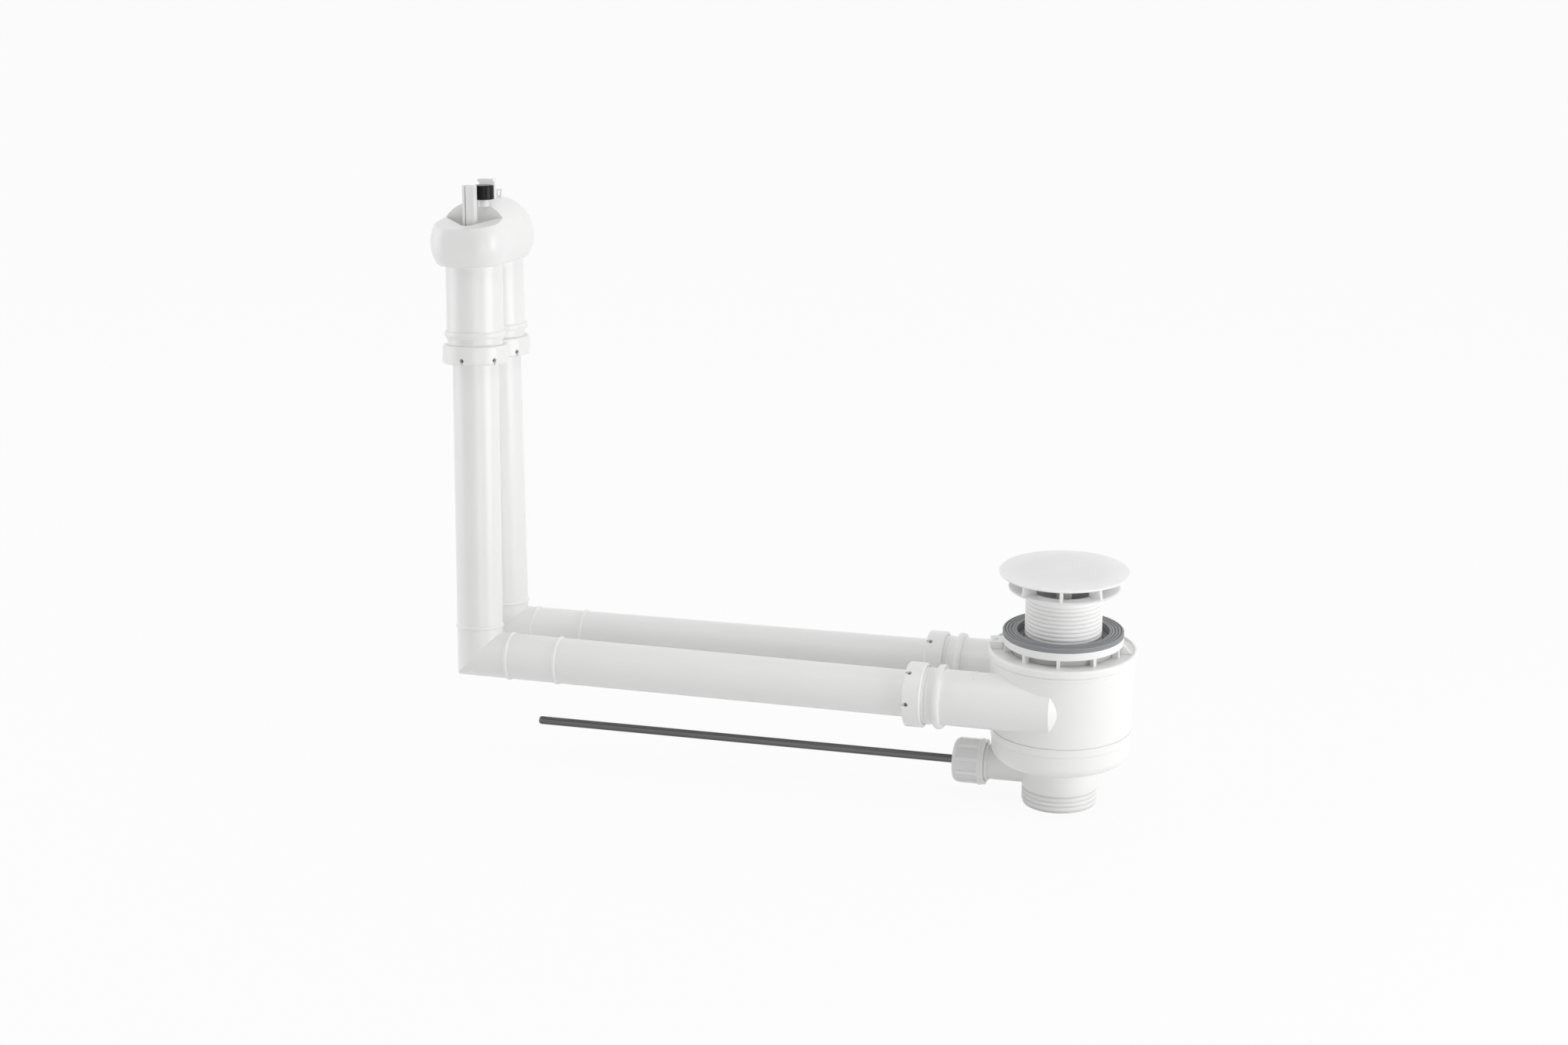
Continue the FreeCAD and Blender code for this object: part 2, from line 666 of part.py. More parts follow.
def bath_gasket():
    """Grey rubber gasket with low rings on its face and a thin lip around the tube."""
    neck_radius = TUBE_RADIUS + FIT_GAP
    wall = SEAT_BORE_RADIUS - GASKET_WALL
    body = turned(
        [
            (SEAT_RADIUS, SEAT_TOP),
            (SEAT_RADIUS, GASKET_TOP - 0.3),
            (SEAT_RADIUS - 0.3, GASKET_TOP),
            (wall, GASKET_TOP),
            (wall, LEDGE_TOP + 1.2),
            (neck_radius + 0.2, LEDGE_TOP + 1.2),
            (neck_radius + 0.2, LEDGE_TOP),
            (SEAT_BORE_RADIUS - 0.1, LEDGE_TOP),
            (SEAT_BORE_RADIUS - 0.1, SEAT_TOP),
        ]
    )
    for i in range(GASKET_RIDGES):
        centre = SEAT_RADIUS - 1.6 - i * GASKET_RIDGE_PITCH
        groove = ring(centre - 0.35, centre + 0.35, GASKET_TOP - GASKET_RIDGE_HEIGHT, GASKET_TOP + 1)
        body = body.cut(groove)
    return body


def flange_body():
    """Dish, plain collar and tube of the flange, turned in one outline."""
    bore = TUBE_RADIUS - TUBE_WALL
    lip_top = LIP_HEIGHT + FLANGE_EDGE
    foot = LIP_HEIGHT - TUBE_LENGTH
    return turned(
        [
            (bore, foot),
            (TUBE_RADIUS - THREAD_DEPTH, foot),
            (TUBE_RADIUS - THREAD_DEPTH, LIP_HEIGHT - TUBE_COLLAR),
            (TUBE_RADIUS, LIP_HEIGHT - TUBE_COLLAR + 0.4),
            (TUBE_RADIUS, THROAT_HEIGHT - DISH_THICKNESS),
            (FLANGE_RADIUS - 0.6, LIP_HEIGHT),
            (FLANGE_RADIUS, LIP_HEIGHT + 0.4),
            (FLANGE_RADIUS, lip_top - 0.4),
            (FLANGE_RADIUS - 0.4, lip_top),
            (FLANGE_RADIUS - 1.2, lip_top),
            (bore + THROAT_EDGE, THROAT_HEIGHT),
            (bore, THROAT_HEIGHT - THROAT_EDGE),
        ]
    )


def flange_fins():
    """Upright fins that carry the cap above the dish and guard the throat."""
    lip_top = LIP_HEIGHT + FLANGE_EDGE
    corners = [
        Vector(FIN_INNER_RADIUS, 0, THROAT_HEIGHT - 0.5),
        Vector(FLANGE_RADIUS - FIN_INSET - 1, 0, LIP_HEIGHT + 0.5),
        Vector(FLANGE_RADIUS - FIN_INSET, 0, lip_top),
        Vector(FLANGE_RADIUS - FIN_INSET - FIN_LEAN, 0, FIN_TOP),
        Vector(FIN_INNER_RADIUS, 0, FIN_TOP),
    ]
    fin = Part.Face(Part.makePolygon(corners + corners[:1])).extrude(Vector(0, FIN_THICKNESS, 0))
    fin.translate(Vector(0, -FIN_THICKNESS / 2, 0))
    return around(fin, FIN_COUNT, FIN_START_ANGLE)


def throat_cross():
    """Cross with a hub inside the tube that holds the post of the cap."""
    bottom = CROSS_TOP - CROSS_HEIGHT
    reach = TUBE_RADIUS - TUBE_WALL / 2
    hub = rod(CAP_POST_RADIUS + CROSS_HUB_WALL, bottom, CROSS_TOP)
    arm = block((-reach, reach), (-CROSS_THICKNESS / 2, CROSS_THICKNESS / 2), (bottom, CROSS_TOP))
    cross = fused([hub, arm, spun(arm, 90)])
    bore = rod(CAP_POST_RADIUS + CAP_POST_CLEARANCE, bottom - 1, CROSS_TOP + 1)
    return spun(cross.cut(bore), FIN_START_ANGLE)


def waste_flange():
    """Flange moulding: dish with fins, throat cross and the long threaded tube."""
    turns = int((TUBE_LENGTH - TUBE_COLLAR) / TUBE_THREAD_PITCH)
    start = LIP_HEIGHT - TUBE_COLLAR - turns * TUBE_THREAD_PITCH
    ridges = thread_ridges(TUBE_RADIUS - THREAD_DEPTH, TUBE_RADIUS, start, turns, TUBE_THREAD_PITCH)
    body = fused([flange_body()] + ridges)
    return fused([body, throat_cross()] + flange_fins())


def cover_cap():
    """Thin domed cap with a rounded edge and a central post."""
    edge_top = FIN_TOP + CAP_EDGE
    rim = CAP_RADIUS - 0.6
    sphere = (rim**2 + CAP_RISE**2) / (2 * CAP_RISE)
    sag = sphere - math.sqrt(sphere**2 - (rim / 2) ** 2)
    start = Vector(rim, 0, edge_top)
    middle = Vector(rim / 2, 0, edge_top + CAP_RISE - sag)
    crown = Vector(0, 0, edge_top + CAP_RISE)
    under_crown = Vector(0, 0, FIN_TOP)
    edge_low = Vector(CAP_RADIUS - 0.5, 0, FIN_TOP)
    edge_out = Vector(CAP_RADIUS, 0, FIN_TOP + CAP_EDGE / 2)
    outline = Part.Wire(
        [
            Part.Arc(edge_low, edge_out, start).toShape(),
            Part.Arc(start, middle, crown).toShape(),
            Part.makeLine(crown, under_crown),
            Part.makeLine(under_crown, edge_low),
        ]
    )
    dome = Part.Face(outline).revolve(Vector(), Z_AXIS, FULL_TURN)
    post = rod(CAP_POST_RADIUS, CROSS_TOP - CROSS_HEIGHT, FIN_TOP + 0.5)
    return fused([dome, post])


def plug():
    """Closing disc with its stem and the wings that guide it in the valve seat."""
    disc = rod(PLUG_RADIUS, PLUG_BOTTOM, PLUG_BOTTOM + PLUG_DISC)
    holder = rod(STEM_RADIUS + 3, PLUG_BOTTOM - PLUG_SEAL_THICKNESS - 1.5, PLUG_BOTTOM + 1)
    foot = ROD_HEIGHT + ROD_RADIUS + ROD_REST_GAP + STEM_RADIUS
    stem = rod(STEM_RADIUS, foot, PLUG_BOTTOM + 1)
    tip = Part.makeSphere(STEM_RADIUS, Vector(0, 0, foot))
    top = PLUG_BOTTOM - PLUG_SEAL_THICKNESS - 0.2
    reach = VALVE_SEAT_RADIUS - WING_CLEARANCE
    wing = block((-reach, reach), (-WING_THICKNESS / 2, WING_THICKNESS / 2), (top - WING_LENGTH, top))
    wings = [wing, spun(wing, 90)]
    return fused([disc, holder, stem, tip] + wings)


def plug_seal():
    """Soft ring under the closing disc."""
    inner = STEM_RADIUS + 3 + SEAL_GAP
    outer = PLUG_RADIUS + PLUG_SEAL_OVERHANG
    return ring(inner, outer, PLUG_SEAL_BOTTOM, PLUG_BOTTOM)


def lever_rod():
    """Steel rod with rounded ends, through the ball and under the stem of the plug."""
    shaft = rod(ROD_RADIUS, -ROD_INNER_REACH, ROD_OUTER_REACH)
    shaft = shaft.makeFillet(ROD_RADIUS * 0.6, level_edges(shaft))
    return along_minus_x(shaft).translate(Vector(0, 0, ROD_HEIGHT))


def rod_ball():
    """Ball that seals and carries the rod in the spigot."""
    ball = Part.makeSphere(BALL_RADIUS, Vector(-BALL_DISTANCE, 0, ROD_HEIGHT))
    bore = ROD_RADIUS + BALL_BORE_CLEARANCE
    hole = along_minus_x(rod(bore, BALL_DISTANCE - 2 * BALL_RADIUS, BALL_DISTANCE + 2 * BALL_RADIUS))
    return ball.cut(hole.translate(Vector(0, 0, ROD_HEIGHT)))


def ball_socket(extra=0.0):
    """Round space that the ball turns in."""
    return Part.makeSphere(BALL_RADIUS + BALL_CLEARANCE + extra, Vector(-BALL_DISTANCE, 0, ROD_HEIGHT))


def swing_cone():
    """Room for the rod to swing, widening away from the ball to both sides."""
    reach = ROD_NUT_END - BALL_DISTANCE + 2
    swing = reach * PLUG_LIFT / BALL_DISTANCE
    cone = Part.makeCone(ROD_RADIUS + 0.5, ROD_RADIUS + 0.8 + swing, reach)
    outward = along_minus_x(cone).translate(Vector(-BALL_DISTANCE, 0, ROD_HEIGHT))
    inward = outward.mirror(Vector(-BALL_DISTANCE, 0, 0), X_AXIS)
    return fused([outward, inward])


def ball_seat():
    """Ring inside the spigot that the ball turns against."""
    near = BALL_DISTANCE - BALL_RADIUS - 3.0
    seat = along_minus_x(rod(BALL_RADIUS + 3.1, near, BALL_DISTANCE - 1.5))
    return seat.translate(Vector(0, 0, ROD_HEIGHT)).cut(ball_socket()).cut(swing_cone())


def ball_washer():
    """Soft ring between the ball and the nut."""
    washer = along_minus_x(rod(BALL_RADIUS + 3.1, BALL_DISTANCE + 1.5, BALL_DISTANCE + 5.0))
    return washer.translate(Vector(0, 0, ROD_HEIGHT)).cut(ball_socket()).cut(swing_cone())


def rod_nut():
    """Nut with a rounded face, grip ribs and a wider collar."""
    mouth = ROD_SPIGOT_LENGTH + 2
    collar_end = mouth + ROD_NUT_COLLAR
    barrel = rod(ROD_NUT_RADIUS, mouth, ROD_NUT_END)
    barrel = barrel.makeFillet(ROD_NUT_EDGE_RADIUS, level_edges(barrel, ROD_NUT_END))
    collar = rod(ROD_NUT_COLLAR_RADIUS, mouth, collar_end)
    raised = rod(ROD_NUT_RING_RADIUS, collar_end, collar_end + ROD_NUT_RING_WIDTH)
    rib = block(
        (ROD_NUT_RADIUS - 2, ROD_NUT_RADIUS + ROD_NUT_RIB_RISE),
        (-ROD_NUT_RIB_WIDTH / 2, ROD_NUT_RIB_WIDTH / 2),
        (collar_end, ROD_NUT_END - ROD_NUT_EDGE_RADIUS),
    )
    body = fused([barrel, collar, raised] + around(rib, ROD_NUT_RIBS, ROD_NUT_RIB_START))
    body = body.cut(rod(ROD_THREAD_RADIUS + FIT_GAP, 0, BALL_DISTANCE + 0.3))
    body = body.cut(rod(BALL_RADIUS + 3.3, 0, BALL_DISTANCE + 5.0))
    body = along_minus_x(body).translate(Vector(0, 0, ROD_HEIGHT))
    return body.cut(ball_socket()).cut(swing_cone())


def elbow(radius, x_end, z_end):
    """Round bar along X and up Z that meets in a mitre at the corner."""
    level = along_minus_x(rod(radius, -x_end, RUN_LENGTH + 2 * radius))
    upright = on_riser(rod(radius, -2 * radius, z_end))
    corner = Vector(-RUN_LENGTH, 0, 0)
    reach = 3 * RUN_LENGTH
    half = block((-reach, reach), (-reach, reach), (-reach, 0))
    half.rotate(corner, Y_AXIS, -(90 + ELBOW_OPENING) / 2)
    return fused([level.common(half), upright.cut(half)])


def beyond_corner():
    """Space outside the rounded outer corner of a run."""
    reach = 2 * PIPE_RADIUS
    quadrant = block((-RUN_LENGTH - reach, -RUN_LENGTH), (-reach, reach), (-reach, 0))
    return quadrant.cut(Part.makeSphere(ELBOW_CORNER_REACH, Vector(-RUN_LENGTH, 0, 0)))


def run_pipe(side):
    """One L-shaped pipe moulding with its beads."""
    x_end = -(BRANCH_MOUTH - PIPE_INSERTION + 0.5)
    z_end = RISER_LENGTH + PIPE_INSERTION - 0.5
    body = elbow(PIPE_RADIUS, x_end, z_end)
    beads = [
        along_minus_x(bead(PIPE_RADIUS, BEAD_RISE, BEAD_WIDTH, RUN_LENGTH - distance))
        for distance in BEAD_DISTANCES
    ]
    beads.append(on_riser(bead(PIPE_RADIUS, BEAD_RISE, RISER_BEAD_WIDTH, RISER_BEAD_HEIGHT)))
    body = fused([body.cut(beyond_corner())] + beads)
    bore = elbow(PIPE_RADIUS - PIPE_WALL, x_end + 1, z_end + 1)
    return on_run(body.cut(bore), side)


def union_nut(radius, slot_start):
    """Slotted union nut, mouth up, its face at z = 0."""
    barrel = rod(radius, 0, NUT_LENGTH)
    barrel = barrel.makeFillet(NUT_EDGE_RADIUS, level_edges(barrel))
    barrel = barrel.cut(rod(SOCKET_THREAD_RADIUS + NUT_CLEARANCE, NUT_FACE, NUT_LENGTH + 1))
    barrel = barrel.cut(rod(NUT_HOLE_RADIUS, -1, NUT_LENGTH))
    half = NUT_SLOT_WIDTH / 2
    cut = block((radius - 1.6, radius + 1), (-half, half), (-1, NUT_SLOT_DEPTH))
    hole = Part.makeCylinder(NUT_SLOT_HOLE_RADIUS, 4, Vector(radius - 3.0, 0, NUT_SLOT_DEPTH), X_AXIS)
    slot = cut.fuse(hole)
    return barrel.cut(Part.makeCompound(around(slot, NUT_SLOTS, slot_start)))


def pipe_seal():
    """Flat ring that the nut presses against the mouth of the socket."""
    outer = SOCKET_THREAD_RADIUS - 0.2
    return turned(
        [
            (PIPE_RADIUS + SEAL_GAP, 0),
            (outer, 0),
            (outer, SEAL_THICKNESS),
            (PIPE_RADIUS + SEAL_GAP, SEAL_THICKNESS),
        ]
    )


def branch_nut(side):
    """Union nut on the mouth of a side branch."""
    nut = union_nut(NUT_RADIUS, BRANCH_SLOT_START).translate(Vector(0, 0, -BRANCH_NUT_FACE - 1.0))
    return on_branch(along_x(nut), side)


def branch_seal(side):
    """Seal ring in the nut of a side branch."""
    seal = pipe_seal().translate(Vector(0, 0, -BRANCH_MOUTH - SEAL_THICKNESS - SEAL_GAP))
    return on_branch(along_x(seal), side)


def riser_nut(side):
    """Union nut on the mouth of a head socket."""
    face = riser_mouth(side) - NUT_FACE - 1.0
    nut = union_nut(RISER_NUT_RADIUS, RISER_SLOT_START).translate(Vector(0, 0, face))
    return on_run(on_riser(nut), side)


def riser_seal(side):
    """Seal ring in the nut of a riser."""
    start = riser_mouth(side) - SEAL_THICKNESS - SEAL_GAP
    return on_run(on_riser(pipe_seal().translate(Vector(0, 0, start))), side)


def head_form(inset):
    """Barrel of the head with rounded ends, cut flat below, inset evenly for its inside."""
    radius = HEAD_RADIUS - inset
    length = HEAD_HALF_LENGTH - inset
    bottom = HEAD_RISE - HEAD_DEPTH + inset
    barrel = Part.makeCylinder(radius, 2 * length, Vector(0, -length, HEAD_RISE), Y_AXIS)
    ends = [e for e in barrel.Edges if e.BoundBox.YLength < 0.1]
    barrel = barrel.makeFillet(HEAD_END_RADIUS - inset, ends)
    loaf = barrel.common(block((-radius, radius), (-length, length), (bottom, HEAD_TOP)))
    loaf = loaf.makeFillet(HEAD_LOWER_EDGE - inset, level_edges(loaf, bottom))
    return loaf.translate(Vector(0, HEAD_SHIFT, 0))


def before_wall(floor, slope, setback):
    """Space in front of the wall of the ledge, above a floor that falls to the front."""
    reach = 3 * HEAD_HALF_LENGTH
    above = block((-reach, reach), (-reach, reach), (0, reach))
    above.rotate(Vector(), X_AXIS, slope)
    space = above.common(block((-reach, reach), (-reach, setback), (-reach, reach)))
    space.rotate(Vector(), Z_AXIS, LEDGE_WALL_ANGLE)
    return space.translate(Vector(0, -LEDGE_WALL_OFFSET, HEAD_RISE + floor))


def ledge_pocket():
    """Three-cornered pocket in the ledge, open along the wall behind it."""
    corners = [
        Vector(POCKET_TIP_SIDE, POCKET_TIP, HEAD_RISE),
        Vector(POCKET_HALF_WIDTH, -LEDGE_WALL_OFFSET, HEAD_RISE),
        Vector(POCKET_HALF_WIDTH, 0, HEAD_RISE),
        Vector(-POCKET_HALF_WIDTH, 0, HEAD_RISE),
        Vector(-POCKET_HALF_WIDTH, -LEDGE_WALL_OFFSET, HEAD_RISE),
    ]
    prism = Part.Face(Part.makePolygon(corners + corners[:1])).extrude(Vector(0, 0, HEAD_RADIUS))
    tip = [e for e in prism.Edges if e.BoundBox.ZLength > 1 and abs(e.BoundBox.YMin - POCKET_TIP) < 0.1]
    return prism.makeFillet(POCKET_TIP_RADIUS, tip).common(before_wall(LEDGE_FLOOR, 0, 0))


def head_clip():
    """Upright channel that stands in the pocket of the ledge."""
    half = CLIP_WIDTH / 2
    back = CLIP_OFFSET + CLIP_DEPTH
    top = HEAD_TOP + CLIP_RISE
    foot = top - CLIP_ROOT
    outer = block((CLIP_SIDE - half, CLIP_SIDE + half), (CLIP_OFFSET, back), (foot, top))
    inner = block(
        (CLIP_SIDE - half + CLIP_WALL, CLIP_SIDE + half - CLIP_WALL),
        (CLIP_OFFSET - 1, back - CLIP_WALL),
        (foot - 1, top + 1),
    )
    return outer.cut(inner)


def head_hook():
    """Upright tongue with a hooked top, behind the vent."""
    x_range = (HOOK_SIDE - HOOK_WIDTH / 2, HOOK_SIDE + HOOK_WIDTH / 2)
    back = HOOK_OFFSET + HOOK_THICKNESS
    top = HEAD_TOP + HOOK_RISE
    plate = block(x_range, (HOOK_OFFSET, back), (HEAD_TOP - HOOK_ROOT, top))
    lip = block(x_range, (HOOK_OFFSET - HOOK_REACH, back), (top - CLIP_WALL, top))
    return fused([plate, lip])


def head_loop():
    """Small loop behind the hook."""
    half = LOOP_WIDTH / 2
    top = HEAD_TOP + LOOP_RISE
    y_range = (LOOP_OFFSET, LOOP_OFFSET + LOOP_THICKNESS)
    outer = block((LOOP_SIDE - half, LOOP_SIDE + half), y_range, (HEAD_TOP - LOOP_ROOT, top))
    window = block(
        (LOOP_SIDE - half + LOOP_FRAME, LOOP_SIDE + half - LOOP_FRAME),
        (LOOP_OFFSET - 1, LOOP_OFFSET + LOOP_THICKNESS + 1),
        (HEAD_TOP + LOOP_FRAME, top - LOOP_FRAME),
    )
    return outer.cut(window)


def vent_post():
    """Short pipe on top of the head that the vent cap closes."""
    inner = VENT_POST_RADIUS - VENT_POST_WALL
    top = HEAD_TOP + VENT_POST_HEIGHT + VENT_POST_GRIP
    post = ring(inner, VENT_POST_RADIUS, HEAD_TOP - VENT_POST_ROOT, top)
    return post.translate(Vector(VENT_SIDE, VENT_OFFSET, 0))


def overflow_head():
    """Head moulding with both sockets, the ledge with its pocket, the clips and the vent post."""
    form = head_form(0).cut(before_wall(LEDGE_RISE, LEDGE_SLOPE, 0)).cut(ledge_pocket())
    inside = head_form(HEAD_WALL).cut(before_wall(LEDGE_FLOOR - HEAD_WALL, 0, HEAD_WALL))
    form = fused([form, head_clip(), head_hook(), head_loop(), vent_post()])
    shells = [on_head(form)]
    bores = [on_head(inside)]
    length = HEAD_RISE - HEAD_DEPTH + HEAD_WALL / 2
    for side in (-1, 1):
        mouth = riser_mouth(side)
        socket = socket_form(mouth, length, HEAD_SOCKET_RADIUS, HEAD_RING_RADIUS, HEAD_RING_DISTANCE)
        shells.append(on_run(on_riser(socket), side))
        entry = rod(SOCKET_BORE_RADIUS, mouth - 1, mouth + PIPE_INSERTION + HEAD_DROP)
        passage = rod(PIPE_RADIUS - PIPE_WALL, mouth, mouth + length + HEAD_WALL)
        bores.append(on_run(on_riser(fused([entry, passage])), side))
    body = fused(shells)
    for bore in bores:
        body = body.cut(bore)
    return body


def vent_cap():
    """Black cap over the vent post."""
    bottom = HEAD_TOP + VENT_POST_HEIGHT
    cap = rod(VENT_RADIUS, bottom, bottom + VENT_HEIGHT)
    cap = cap.makeFillet(0.8, level_edges(cap))
    cap = cap.cut(rod(VENT_POST_RADIUS + VENT_FIT, bottom - 1, bottom + VENT_POST_GRIP))
    return on_head(cap.translate(Vector(VENT_SIDE, VENT_OFFSET, 0)))


def build():
    """All pieces by node name."""
    pieces = {
        "waste_base": waste_base(),
        "waste_housing": waste_housing(),
        "valve_plate": valve_plate(),
        "plate_seal": plate_seal(),
        "bath_gasket": bath_gasket(),
        "waste_flange": waste_flange(),
        "cover_cap": cover_cap(),
        "plug": plug(),
        "plug_seal": plug_seal(),
        "lever_rod": lever_rod(),
        "rod_ball": rod_ball(),
        "ball_seat": ball_seat(),
        "ball_washer": ball_washer(),
        "rod_nut": rod_nut(),
        "overflow_head": overflow_head(),
        "vent_cap": vent_cap(),
    }
    for name, side in (("front", -1), ("back", 1)):
        pieces[name + "_pipe"] = run_pipe(side)
        pieces[name + "_branch_nut"] = branch_nut(side)
        pieces[name + "_branch_seal"] = branch_seal(side)
        pieces[name + "_riser_nut"] = riser_nut(side)
        pieces[name + "_riser_seal"] = riser_seal(side)
    return pieces


for node, shape in build().items():
    shape.exportStep("parts/" + node + ".step")
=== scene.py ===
"""Dresses the bath waste and overflow, lights it and sets the camera."""
from __future__ import annotations

import json
import logging
import math
from abc import ABC, abstractmethod
from dataclasses import dataclass, field
from enum import Enum
from typing import Sequence

import bmesh
import bpy
from mathutils import Matrix, Vector

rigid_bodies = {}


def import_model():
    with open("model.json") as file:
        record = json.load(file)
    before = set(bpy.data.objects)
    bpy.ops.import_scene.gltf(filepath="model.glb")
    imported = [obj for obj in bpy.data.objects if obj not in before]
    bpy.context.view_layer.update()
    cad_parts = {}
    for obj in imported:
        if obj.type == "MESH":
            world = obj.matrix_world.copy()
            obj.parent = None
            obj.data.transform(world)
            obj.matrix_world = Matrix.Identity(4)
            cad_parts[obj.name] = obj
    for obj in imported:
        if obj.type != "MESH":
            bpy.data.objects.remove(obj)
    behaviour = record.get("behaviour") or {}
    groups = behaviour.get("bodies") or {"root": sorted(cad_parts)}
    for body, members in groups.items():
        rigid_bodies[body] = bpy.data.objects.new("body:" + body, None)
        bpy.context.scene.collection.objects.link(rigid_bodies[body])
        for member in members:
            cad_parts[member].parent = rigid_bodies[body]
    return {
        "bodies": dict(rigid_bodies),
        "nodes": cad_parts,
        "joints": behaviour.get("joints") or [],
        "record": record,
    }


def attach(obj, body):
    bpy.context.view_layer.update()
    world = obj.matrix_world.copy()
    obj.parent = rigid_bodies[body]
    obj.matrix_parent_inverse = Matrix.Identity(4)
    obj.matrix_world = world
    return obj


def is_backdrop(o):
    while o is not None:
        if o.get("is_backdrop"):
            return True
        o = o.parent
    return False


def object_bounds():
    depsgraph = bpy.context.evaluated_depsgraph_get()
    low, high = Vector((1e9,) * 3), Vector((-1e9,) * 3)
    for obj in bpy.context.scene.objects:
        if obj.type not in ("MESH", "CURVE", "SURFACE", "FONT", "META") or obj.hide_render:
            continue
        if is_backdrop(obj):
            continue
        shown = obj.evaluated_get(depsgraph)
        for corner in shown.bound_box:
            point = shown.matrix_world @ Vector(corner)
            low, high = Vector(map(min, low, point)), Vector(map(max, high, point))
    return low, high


log = logging.getLogger("bath_waste")

PHOTOGRAPH_WIDTH = 2025
SENSOR_WIDTH_MM = 36.0
PIPE_HEIGHT = 0.0734
LEVER_HEIGHT = 0.021
MERGE_DISTANCE = 1e-6

Colour = tuple[float, float, float]
Point = tuple[float, float, float]

WHITE: Colour = (0.86, 0.86, 0.855)
LIGHT_WHITE: Colour = (1.0, 1.0, 1.0)


class Slot(Enum):
    """Material slots of the record."""

    WHITE = "white_plastic"
    NUT = "nut_plastic"
    RUBBER = "grey_rubber"
    BLACK = "black_plastic"
    STEEL = "steel_rod"


class Grain(Enum):
    """Ways that the fine structure of a surface runs."""

    EVEN = (1.0, 1.0, 1.0)
    ALONG_X = (0.004, 1.0, 1.0)


def with_alpha(colour: Colour) -> tuple[float, float, float, float]:
    """Returns a colour with full opacity."""
    return (*colour, 1.0)


def darker(colour: Colour, factor: float) -> Colour:
    """Darkens a colour by a factor below 1."""
    return tuple(channel * factor for channel in colour)


@dataclass(frozen=True)
class Axis:
    """An axis of the part, by a point on it and a mask of the directions across it."""

    point: Point
    across: Point


UPRIGHT = Axis((0.0, 0.0, 0.0), (1.0, 1.0, 0.0))
LEVER = Axis((0.0, 0.0, LEVER_HEIGHT), (0.0, 1.0, 1.0))


@dataclass(frozen=True)
class PaintedGrooveShade:
    """Shade painted into the colour between ridges or ribs, by the distance from their axis."""

    axis: Axis
    root: float
    crest: float
    # Share of the colour kept at the root, where the painted shade is darkest.
    painted_shade_level: float


@dataclass(frozen=True)
class Pattern:
    """A noise pattern, with its cells in a metre, its finer layers and the way that it runs."""

    scale: float
    detail: float = 2.0
    grain: Grain = Grain.EVEN
    roughness: float = 0.55


@dataclass(frozen=True)
class Relief:
    """A fine relief, with its pattern, its depth in metres and the share of it that shows."""

    pattern: Pattern
    depth: float
    strength: float


@dataclass(frozen=True)
class Span:
    """First and last value of a span that is mapped to another one."""

    first: float
    last: float


WHOLE = Span(0.0, 1.0)
PATTERN_MIDDLE = Span(0.3, 0.7)


